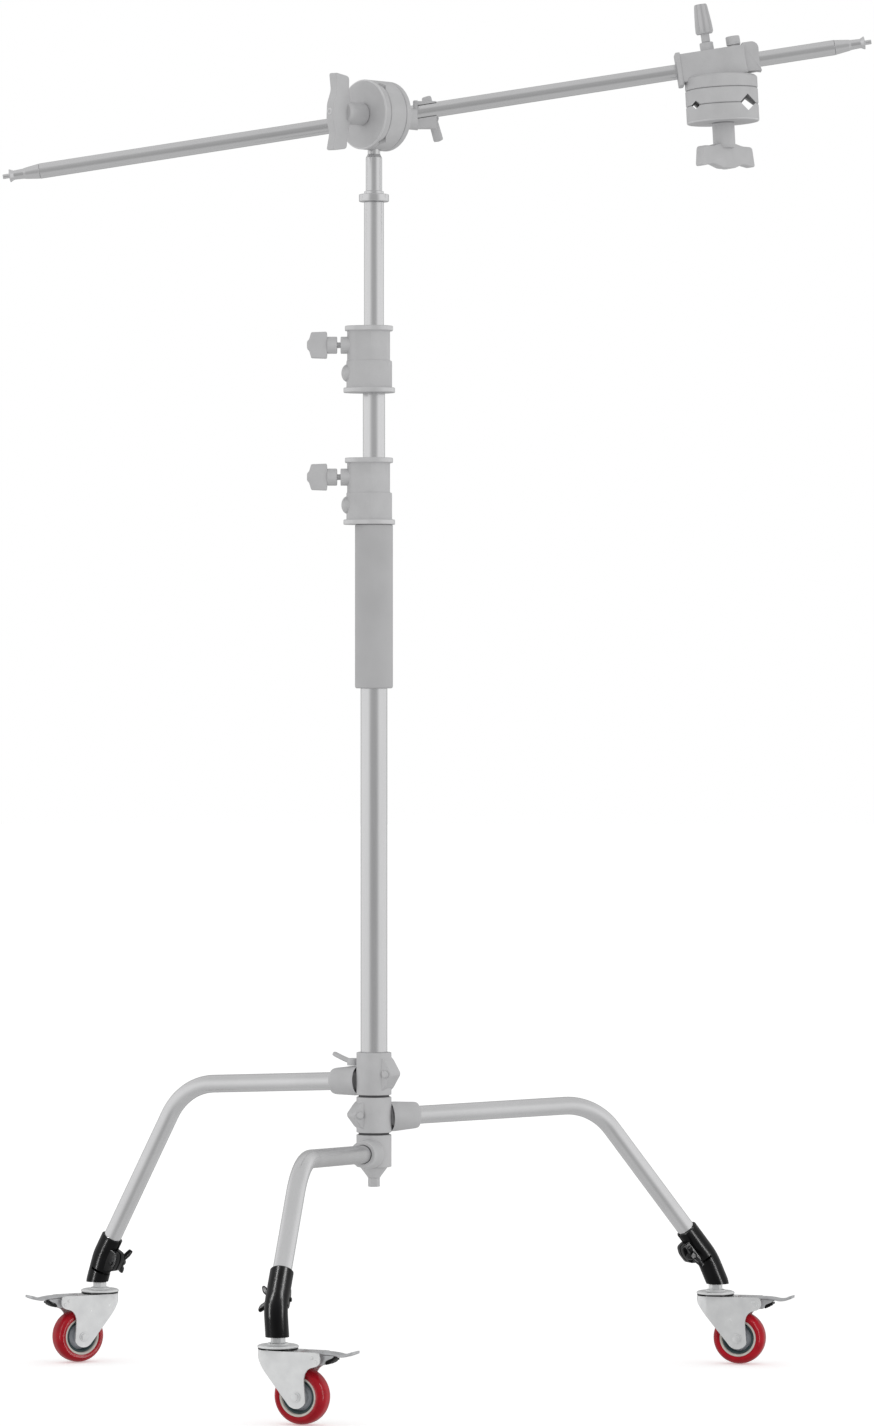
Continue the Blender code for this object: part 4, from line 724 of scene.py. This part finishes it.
def makeWheel(side, place):
    hub = seat(place["at"] + np.array([caster["trail"], 0, caster["axle"]]) @ place["axes"],
               place["axes"][1], -up)
    big, half = caster["wheel"] * math.cos(math.pi / 20), 0.015
    swell = np.linspace(-1, 1, 25)
    crown = np.stack([big - 0.0062 * np.abs(swell) ** 3.2, -swell * (half - 0.0002)], -1)
    tread = np.vstack([[(0.0262, half - 0.0004)], crown, [(0.0262, -half + 0.0004)]])
    makePiece(f"{side}Tread", [turnedSurface(tread, hub, 96, 0.0004, ring=True)], tyreFinish,
              f"{side}_wheel", [f"{side}_tyre"])
    rim = [(0.0262, half - 0.0012), (0.0262, -half + 0.0012), (0.0256, -half + 0.0004),
           (0.0232, -half + 0.0012), (0.0222, -half + 0.0045), (0.0222, half - 0.0045),
           (0.0232, half - 0.0012), (0.0256, half - 0.0004)]
    makePiece(f"{side}RimRing", [turnedSurface(rim, hub, 96, 0.0005, ring=True)], creamFinish,
              f"{side}_wheel", [f"{side}_wheel"])
    seal = [(0.0222, 0.0118), (0.0222, -0.0118), (0.0205, -0.0124), (0.0190, -0.0112), (0.0186, -0.0060),
            (0.0186, 0.0060), (0.0190, 0.0112), (0.0205, 0.0124)]
    makePiece(f"{side}SealRing", [turnedSurface(seal, hub, 96, 0.0006, ring=True)], tealFinish,
              f"{side}_wheel")
    core = [(0.0187, 0.0052), (0.0187, -0.0052), (0.0120, -0.0070), (0.0100, -0.0142), (0.0088, -0.0149),
            (0.0044, -0.0149), (0.0044, 0.0149), (0.0088, 0.0149), (0.0100, 0.0142), (0.0120, 0.0070)]
    makePiece(f"{side}WheelCore", [turnedSurface(core, hub, 72, 0.0008, ring=True)], hubFinish,
              f"{side}_wheel")
    face = caster["outside"] + clearance
    surfaces = [turnedSurface([(0, face + 0.001), (0.0040, face + 0.001), (0.0040, -face - 0.001),
                               (0, -face - 0.001)], hub, 32)]
    for hand in (1, -1):
        washer = seat(hub["at"] + hub["axes"][2] * (face * hand), hub["axes"][2] * hand, up)
        surfaces.append(turnedSurface([(0, 0.0010), (0.0064, 0.0010), (0.0068, 0.0006), (0.0068, 0), (0, 0)],
                                      washer, 40, 0.0003))
        hexagon = arcPoints((0, 0), 0.0052, 10, 310, 6)
        surfaces.append(slab(hexagon, 0.0030, shifted(washer, z=0.0024), 0.0006))
    makePiece(f"{side}AxleBolt", surfaces, zincFinish, f"{side}_swivel", [f"{side}_axle"])


for side, leg in legs.items():
    place = seat(columnAt + level(leg["turn"]) * leg["stem"], up, level(leg["heading"]))
    makeStem(side, leg, place)
    makeFork(side, place)
    makePedal(side, place)
    makeWheel(side, place)
print("casters made")


# grip heads
mainHead = {"radius": 0.0480, "outer": (-0.0215, -0.0105), "inner": (-0.0102, 0.0182),
            "disc": (0.0185, 0.0290), "hub": (-0.0540, -0.0218), "bar": (-0.0820, -0.0540),
            "bore": 0.0968, "grooves": ((0, 0.028, 0.0068),), "height": 1.7446, "turn": 43.0}
armHead = {"radius": 0.0505, "outer": (-0.0291, -0.0057), "inner": (-0.0054, 0.0167),
           "disc": (0.0170, 0.0355), "hub": (-0.0624, -0.0294), "bar": (-0.0930, -0.0624),
           "bore": 0.0510, "grooves": ((90, -0.034, 0.0115), (90, 0.038, 0.0060))}
boomRise = math.radians(8.84)
boomAlong = np.array([math.cos(boomRise), 0, math.sin(boomRise)])
boomMiddle = columnAt + level(mainHead["turn"]) * mainHead["bore"] + up * 1.7574


def jawDisc(radius, span):
    # a disc with chamfered rims and a bore for the spindle
    low, high = span
    return [(0.0053, high), (radius - 0.0012, high), (radius, high - 0.0012), (radius, low + 0.0012),
            (radius - 0.0012, low), (0.0053, low)]


def grooveBars(head, place):
    bars = []
    for turn, shift, half in head["grooves"]:
        bar = shifted(spun(place, turn), y=shift, z=(head["outer"][1] + head["inner"][0]) / 2)
        diamond = [(0, -half), (half, 0), (0, half), (-half, 0)]
        # the bar runs along x, so its section lies in y and z
        x, y, z = bar["axes"]
        lying = {"at": bar["at"], "axes": np.array([y, z, x])}
        bars.append(("DIFFERENCE", slab(diamond, 0.16, lying, 0.0001, 1)))
    return bars


def makeJaws(prefix, head, place, body, extra=()):
    nodes = "head" if prefix == "main" else "arm"
    for part in ("outer", "inner"):
        carves = grooveBars(head, place)
        if part == "inner":
            carves += list(extra)
        disc = turnedSurface(jawDisc(head["radius"], head[part]), place, 128, 0.0006, ring=True)
        makePiece(f"{prefix}{part.title()}Jaw", [disc], castFinish, body, [f"{nodes}_{part}_jaw"],
                  carves, rounding=0.0006)
    # the machined lip on the handle's side, in the lighter finish that paints a highlight along the rim
    r, at = head["radius"], head["outer"][0]
    lip = turnedSurface([(r - 0.0011, at - 0.00002), (r + 0.00006, at + 0.0011), (r + 0.00006, at + 0.0018),
                         (r - 0.0012, at + 0.0016), (r - 0.0021, at + 0.0004), (r - 0.0020, at - 0.00002)],
                        place, 128, 0.0001, ring=True)
    makePiece(f"{prefix}JawLip", [lip], rimHighlightFinish, body, (), grooveBars(head, place))


def makeHandle(name, head, place, turn, body, node):
    place = spun(place, turn)
    low, high = head["bar"]
    hubLow, hubHigh = head["hub"]
    hub = turnedSurface([(0.0148, hubHigh), (0.0155, hubHigh - 0.0008), (0.0155, hubLow + 0.002),
                         (0.0140, hubLow - 0.002), (0.0053, hubLow - 0.002), (0.0053, hubHigh)],
                        place, 64, 0.0008, ring=True)
    half = 0.0535
    outline = np.array([(-half, low + 0.002), (-half + 0.0040, high), (-0.030, high + 0.0005),
                        (-0.016, high + 0.004), (0.016, high + 0.004), (0.030, high + 0.0005),
                        (half - 0.0040, high), (half, low + 0.002), (half * 0.55, low + 0.0062),
                        (0.011, low), (-0.011, low), (-half * 0.55, low + 0.0062)])
    bar = slab(softened(outline, 0.005, 6, closed=True), 0.0148, sideways(place), 0.0018, 5)
    makePiece(name, [hub, bar], castFinish, body, [node])
    # the pressed cup round the screw in the middle of the bar, in the lighter finish that paints a highlight
    # round it
    cup = turnedSurface([(0.0024, low + 0.003), (0.0024, low - 0.0004), (0.0044, low - 0.0008),
                         (0.0052, low + 0.0002), (0.0052, low + 0.003)], place, 40, 0.0003, ring=True)
    makePiece(name + "Cup", [cup], rimHighlightFinish, body)
    # a black disc at the bottom of the cup: painted shade inside the screw's socket
    socketShade = turnedSurface([(0, low + 0.0004), (0.0023, low + 0.0004), (0.0023, low + 0.003),
                            (0, low + 0.003)], place, 24)
    makePiece(name + "Socket", [socketShade], blackFinish, body)


def makeSpindle(name, head, place, body, node):
    low, high = head["bar"][0] + 0.012, head["disc"][1] - 0.006
    rod = turnedSurface([(0, high), (0.0044, high), (0.0050, high - 0.0006), (0.0050, low + 0.0006),
                         (0.0044, low), (0, low)], place, 40)
    makePiece(name, [rod], zincFinish, body, [node])


mainPlace = seat(columnAt + up * mainHead["height"], level(mainHead["turn"]), up)
studSocket = turnedSurface([(0, 1.66), (0.0089, 1.66), (0.0089, 1.7245), (0, 1.7245)], column, 48, 0.0001)
makeJaws("main", mainHead, mainPlace, "head_pan", [("DIFFERENCE", studSocket)])
makeHandle("mainHandle", mainHead, mainPlace, 3, "head_handle", "head_handle")
makeSpindle("mainSpindle", mainHead, mainPlace, "head_tilt", "head_spindle")


def boomBore(at):
    # room for the boom through a casting
    return "DIFFERENCE", turnedSurface([(0, -0.12), (0.0112, -0.12), (0.0112, 0.12), (0, 0.12)],
                                       seat(at, boomAlong, up), 56, 0.0001)


receiver = {"low": (0.0535, 0.0480, 1.7338), "high": (0.0865, 0.0840, 1.7708),
            "lever": (0.0805, 0.0840, 1.7500), "leverTilt": -16, "openFrom": 0.0600, "openTo": 0.0597}


def makeReceiver():
    # arm disc and neck in one turning, the block round the boom, and the lever's boss
    low, high, radius = receiver["low"], receiver["high"], mainHead["radius"]
    discLow, discHigh = mainHead["disc"]
    discAndNeck = turnedSurface([(0, 0.0848), (0.0148, 0.0848), (0.0148, 0.034), (0.0175, discHigh),
                                 (radius - 0.006, discHigh), (radius - 0.0008, discHigh - 0.002),
                                 (radius, discHigh - 0.004), (radius, discLow + 0.001),
                                 (radius - 0.001, discLow), (0.0053, discLow),
                                 (0.0053, discHigh - 0.005), (0, discHigh - 0.005)],
                                mainPlace, 128, 0.0008)
    boss = turnedSurface([(0, 0.0045), (0.0056, 0.0045), (0.0060, 0.0040), (0.0060, -0.004), (0, -0.004)],
                         seat(columnAt + np.array(receiver["lever"]), (0, 1, 0), up), 40, 0.0004)
    openFront = block((receiver["openFrom"], 0, low[2] - 0.02),
                      (high[0] + 0.02, receiver["openTo"], high[2] + 0.02), column, 0.0004, 0.0008)
    makePiece("boomReceiver", [discAndNeck], castFinish, "head_tilt", ["head_receiver"],
              [("UNION", block(low, high, column, 0.0016, 0.004)), ("UNION", boss), boomBore(boomMiddle),
               ("DIFFERENCE", openFront)], rounding=0.0006)


def makeLockLever():
    # a bowed bar, 10 mm out in the middle and 18.5 mm out at its ends, on a waisted stem
    place = spun(seat(columnAt + np.array(receiver["lever"]), (0, 1, 0), up), receiver["leverTilt"])
    v = np.linspace(-1, 1, 40)
    bow = np.stack([v * 0.0325, 0 * v, 0.0100 + 0.0085 * v ** 2], -1) @ place["axes"] + place["at"]
    bar = carried(bow, place["axes"][1], 0.0032 + 0.0008 * v ** 2, 0.0066 + 0.0004 * v ** 2, 36, 3.0,
                  ends=0.003)
    stem = turnedSurface([(0, 0.0142), (0.0070, 0.0142), (0.0088, 0.0120), (0.0090, 0.0060),
                          (0.0082, 0.0050), (0.0035, 0.0050), (0.0035, -0.0070), (0, -0.0070)],
                         place, 40, 0.0006)
    makePiece("boomLockLever", [bar, stem], castFinish, "head_lock_lever", ["head_lock_lever"])


makeReceiver()
makeLockLever()
print("main head made")


# boom and second head
boom = {"radius": 0.0106, "inner": 0.0088, "back": 0.595, "front": 0.628, "spigot": 0.052}
boomPlace = seat(boomMiddle, boomAlong, up)
makePiece("boomTube", [tubeWall(boom["radius"], boom["inner"], boom["spigot"] - boom["back"],
                                boom["front"] - boom["spigot"], boomPlace)], armFinish, "boom", ["boom_tube"])
spigot = [(0, 0.052), (0.0026, 0.052), (0.0032, 0.0514), (0.0032, 0.0432), (0.0088, 0.0424),
          (0.0090, 0.0416), (0.0068, 0.0372), (0.0064, 0.0360), (0.0070, 0.0230), (0.0078, 0.0200),
          (0.0103, 0.0012), (0.0106, 0.0003), (0.0085, 0.0003), (0.0085, -0.030), (0, -0.030)]
for name, node, far, way in (("boomTipRight", "boom_spigot_right", boom["front"] - boom["spigot"], 1),
                             ("boomTipLeft", "boom_spigot_left", boom["spigot"] - boom["back"], -1)):
    tip = seat(boomMiddle + boomAlong * far, boomAlong * way, up)
    makePiece(name, [turnedSurface(spigot, tip, 56, 0.0004)], armFinish, "boom", [node])

onBoom = boomMiddle + boomAlong * ((columnAt[0] + 0.481 - boomMiddle[0]) / boomAlong[0])
lean = math.radians(3)
upright = np.array([-math.sin(lean), 0, math.cos(lean)])
armPlace = seat(onBoom - upright * armHead["bore"], upright, boomAlong)
clampPlace = seat(onBoom, up - boomAlong * boomAlong[2], boomAlong)
makeJaws("arm", armHead, armPlace, "arm_jaws")
makeHandle("armHandle", armHead, armPlace, 44, "arm_handle", "arm_handle")
makeSpindle("armSpindle", armHead, armPlace, "arm_clamp", "arm_spindle")

armClamp = {"down": 0.0163, "up": 0.0222, "knob": -0.0145, "bolt": 0.0228}
knobPlace, boltPlace = (shifted(clampPlace, x=armClamp[part]) for part in ("knob", "bolt"))


def makeArmClamp():
    # arm disc and neck in one turning, a bar round the boom with a lip and a rounded end
    down, top, radius = armClamp["down"], armClamp["up"], armHead["radius"]
    discLow, discHigh = armHead["disc"]
    discAndNeck = turnedSurface([(0, 0.0392), (0.018, 0.0392), (0.018, discHigh), (radius - 0.004, discHigh),
                                 (radius, discHigh - 0.003), (radius, discLow + 0.001),
                                 (radius - 0.001, discLow), (0.0053, discLow),
                                 (0.0053, discHigh - 0.005), (0, discHigh - 0.005)],
                                armPlace, 128, 0.0008)
    bar = block((-0.057, -0.019, -down - 0.001), (0.0355, 0.019, top), clampPlace, 0.0016, 0.003)
    lip = block((-0.061, -0.021, -down - 0.005), (-0.054, 0.021, top + 0.0025), clampPlace, 0.0012, 0.003)
    # the rounded end of the block, drawn from the side
    endOutline = np.vstack([[(0.0335, -down + 0.0005), (0.0500, -down + 0.0005), (0.0555, -down - 0.0010),
                             (0.0540, -down + 0.0090)],
                            arcPoints((0.0455, top - 0.0070), 0.0100, 0, 90, 10), [(0.0335, top + 0.0030)]])
    end = slab(softened(endOutline, 0.0006, 2, closed=True), 0.0275, sideways(clampPlace), 0.0005, 2)
    knobBoss = turnedSurface([(0, top + 0.012), (0.0088, top + 0.012), (0.0095, top + 0.0112),
                              (0.0095, top - 0.005), (0, top - 0.005)], knobPlace, 48, 0.0005)
    boltSeat = turnedSurface([(0, top + 0.002), (0.0085, top + 0.002), (0.0085, top - 0.005),
                              (0, top - 0.005)], boltPlace, 48, 0.0003)
    knobRoom = turnedSurface([(0, 0), (0.0048, 0), (0.0048, 0.06), (0, 0.06)], knobPlace, 32, 0.0001)
    boltRoom = turnedSurface([(0, top - 0.006), (0.0048, top - 0.006), (0.0048, 0.06), (0, 0.06)],
                             boltPlace, 32, 0.0001)
    steps = [("UNION", part) for part in (bar, lip, end, knobBoss, boltSeat)] + [boomBore(onBoom)]
    steps += [("DIFFERENCE", room) for room in (knobRoom, boltRoom)]
    makePiece("armClampBlock", [discAndNeck], castFinish, "arm_clamp", ["arm_clamp_block"], steps)
    boltHead = [(0, 0.0140), (0.0042, 0.0140), (0.0042, 0.0150), (0.0088, 0.0150), (0.0098, 0.0140),
                (0.0098, 0.0031), (0.0090, 0.0023), (0.0045, 0.0023), (0.0045, -0.0055), (0, -0.0055)]
    bolt = turnedSurface(boltHead, shifted(boltPlace, z=top), 48, 0.0005)
    makePiece("armClampBolt", [bolt], castFinish, "arm_clamp", ["arm_clamp_bolt"])


def makeClampKnob():
    # tapered grip with flutes: radius = taper * (1 - depth * (0.5 + 0.5 cos 8a)^2), stem below
    neckZ, lowZ, highZ = armClamp["up"] + np.array([0.0123, 0.0235, 0.0655])
    h = np.array([0, 0.02, 0.08, 0.3, 0.6, 0.9, 0.97, 1.0, 1.0])[:, None]
    base = np.array([0.0, 0.0112, 0.0128, 0.0124, 0.0112, 0.0098, 0.0092, 0.0082, 0.0])[:, None]
    a = np.arange(96) * 2 * np.pi / 96
    r = base * (1 - 0.24 * (0.5 + 0.5 * np.cos(8 * a)) ** 2 * (base > 0.009))
    grid = np.stack([r * np.cos(a), r * np.sin(a), lowZ + (highZ - lowZ) * h + 0 * a], -1)
    grip = skin(grid @ knobPlace["axes"] + knobPlace["at"], caps=False)
    stem = turnedSurface([(0, lowZ + 0.003), (0.0060, lowZ + 0.003), (0.0060, neckZ + 0.0008),
                          (0.0054, neckZ), (0.0045, neckZ), (0.0045, 0.0112), (0, 0.0112)],
                         knobPlace, 40, 0.0005)
    makePiece("armClampKnob", [grip, stem], castFinish, "arm_clamp_knob", ["arm_clamp_knob"])


makeArmClamp()
makeClampKnob()
print("boom and second head made")


# floor, light and camera
def makeStudio():
    scene = bpy.context.scene
    scene.view_settings.view_transform = "Standard"
    world = bpy.data.worlds.new("paleStudio")
    scene.world = world
    world.use_nodes = True
    tree = world.node_tree
    back = tree.nodes["Background"]
    back.inputs["Color"].default_value = (1, 1, 1, 1)
    back.inputs["Strength"].default_value = 1.0
    # soft white walls all round, darker ones in front and behind, dimming a little overhead
    # and below: the tubes then show a light band on each side of a grey middle
    way = addNode(tree, "ShaderNodeSeparateXYZ", {}, {},
                  {0: addNode(tree, "ShaderNodeTexCoord").outputs["Generated"]})
    deep = addNode(tree, "ShaderNodeMath", {"operation": "ABSOLUTE"}, {}, {0: way.outputs["Y"]})
    wall = addNode(tree, "ShaderNodeMapRange", {"interpolation_type": "SMOOTHSTEP"},
                   {"From Min": 0.62, "From Max": 0.97, "To Min": 0.92, "To Max": 0.47},
                   {"Value": deep.outputs[0]})
    below = addNode(tree, "ShaderNodeMapRange", {"interpolation_type": "SMOOTHSTEP"},
                    {"From Min": -0.9, "From Max": 0.1, "To Min": 0.66, "To Max": 1.0},
                    {"Value": way.outputs["Z"]})
    above = addNode(tree, "ShaderNodeMapRange", {"interpolation_type": "SMOOTHSTEP"},
                    {"From Min": 0.25, "From Max": 0.80, "To Min": 1.0, "To Max": 0.78},
                    {"Value": way.outputs["Z"]})
    heights = addNode(tree, "ShaderNodeMath", {"operation": "MULTIPLY"}, {},
                      {0: above.outputs["Result"], 1: below.outputs["Result"]})
    strength = addNode(tree, "ShaderNodeMath", {"operation": "MULTIPLY"}, {},
                     {0: wall.outputs["Result"], 1: heights.outputs[0]})
    dim = addNode(tree, "ShaderNodeBackground", {}, {"Color": (1, 1, 1, 1)},
                  {"Strength": strength.outputs[0]})
    seen = addNode(tree, "ShaderNodeLightPath").outputs["Is Camera Ray"]
    both = addNode(tree, "ShaderNodeMixShader", {}, {}, {0: seen, 1: dim.outputs[0], 2: back.outputs[0]})
    tree.links.new(both.outputs[0], tree.nodes["World Output"].inputs["Surface"])

    size = 40.0
    ground = bpy.data.meshes.new("studioFloor")
    corners = np.array([(-1, -1, 0), (1, -1, 0), (1, 1, 0), (-1, 1, 0)]) * size
    ground.from_pydata(corners.tolist(), [], [(0, 1, 2, 3)])
    floor = bpy.data.objects.new("studioFloor", ground)
    floor.location.z = cadBox[0][2] - 0.0005
    scene.collection.objects.link(floor)
    paper = bpy.data.materials.new("palePaper")
    paper.use_nodes = True
    shader = paper.node_tree.nodes["Principled BSDF"]
    shader.inputs["Base Color"].default_value = (0.97, 0.97, 0.97, 1)
    shader.inputs["Roughness"].default_value = 0.9
    shader.inputs["Specular IOR Level"].default_value = 0.0
    shader.inputs["Emission Color"].default_value = (1, 1, 1, 1)
    shader.inputs["Emission Strength"].default_value = 0.37
    ground.materials.append(paper)
    floor.visible_glossy = floor.visible_diffuse = floor.visible_shadow = False

    # a broad soft fill for the matt finishes, and narrow strips on both sides and overhead
    # that only the glossy pieces catch
    lights = [("castingFill", 0.6, -3.4, 1.4, 3.0, 3.0, 15.0, tumbledZincCasting),
              ("gripFill", 1.2, -3.2, 1.2, 2.0, 3.0, 10.0, vinylGrip),
              ("blackLeft", -2.2, -1.45, 1.1, 0.26, 3.4, 150.0, glossBlackCoat),
              ("blackRight", 2.2, -1.45, 1.1, 0.26, 3.4, 125.0, glossBlackCoat),
              ("blackLeftHigh", -1.5, -1.3, 3.0, 0.26, 2.4, 130.0, glossBlackCoat),
              ("blackRightHigh", 1.5, -1.3, 3.0, 0.26, 2.4, 115.0, glossBlackCoat),
              ("redLeft", -2.2, -1.45, 1.1, 0.26, 3.4, 30.0, redUrethane),
              ("redRight", 2.2, -1.45, 1.1, 0.26, 3.4, 48.0, redUrethane)]
    aim = Vector((columnAt[0], columnAt[1], 0.9))
    for name, x, y, z, wide, tall, power, material in lights:
        data = bpy.data.lights.new(name, "AREA")
        data.shape, data.size, data.size_y, data.energy = "RECTANGLE", wide, tall, power
        lamp = bpy.data.objects.new(name, data)
        lamp.location = (columnAt[0] + x, columnAt[1] + y, z)
        lamp.rotation_euler = (aim - lamp.location).to_track_quat("-Z", "Y").to_euler()
        lamp.visible_camera = False
        scene.collection.objects.link(lamp)
        if material:
            catching = bpy.data.collections.new(name + "Pieces")
            for made in scene.collection.all_objects:
                if made.type == "MESH" and material in list(made.data.materials):
                    catching.objects.link(made)
            lamp.light_linking.receiver_collection = catching


def makeCamera():
    data = bpy.data.cameras.new("camera")
    data.sensor_width, data.lens, data.clip_end = 36.0, 5797 * 36 / 1426, 200.0
    made = bpy.data.objects.new("camera", data)
    made.location = (columnAt[0] + 0.087, columnAt[1] - 8.0, 0.92)
    made.rotation_euler = (math.radians(90), 0, 0)
    bpy.context.scene.collection.objects.link(made)
    bpy.context.scene.camera = made


makeStudio()
makeCamera()
print("studio made")
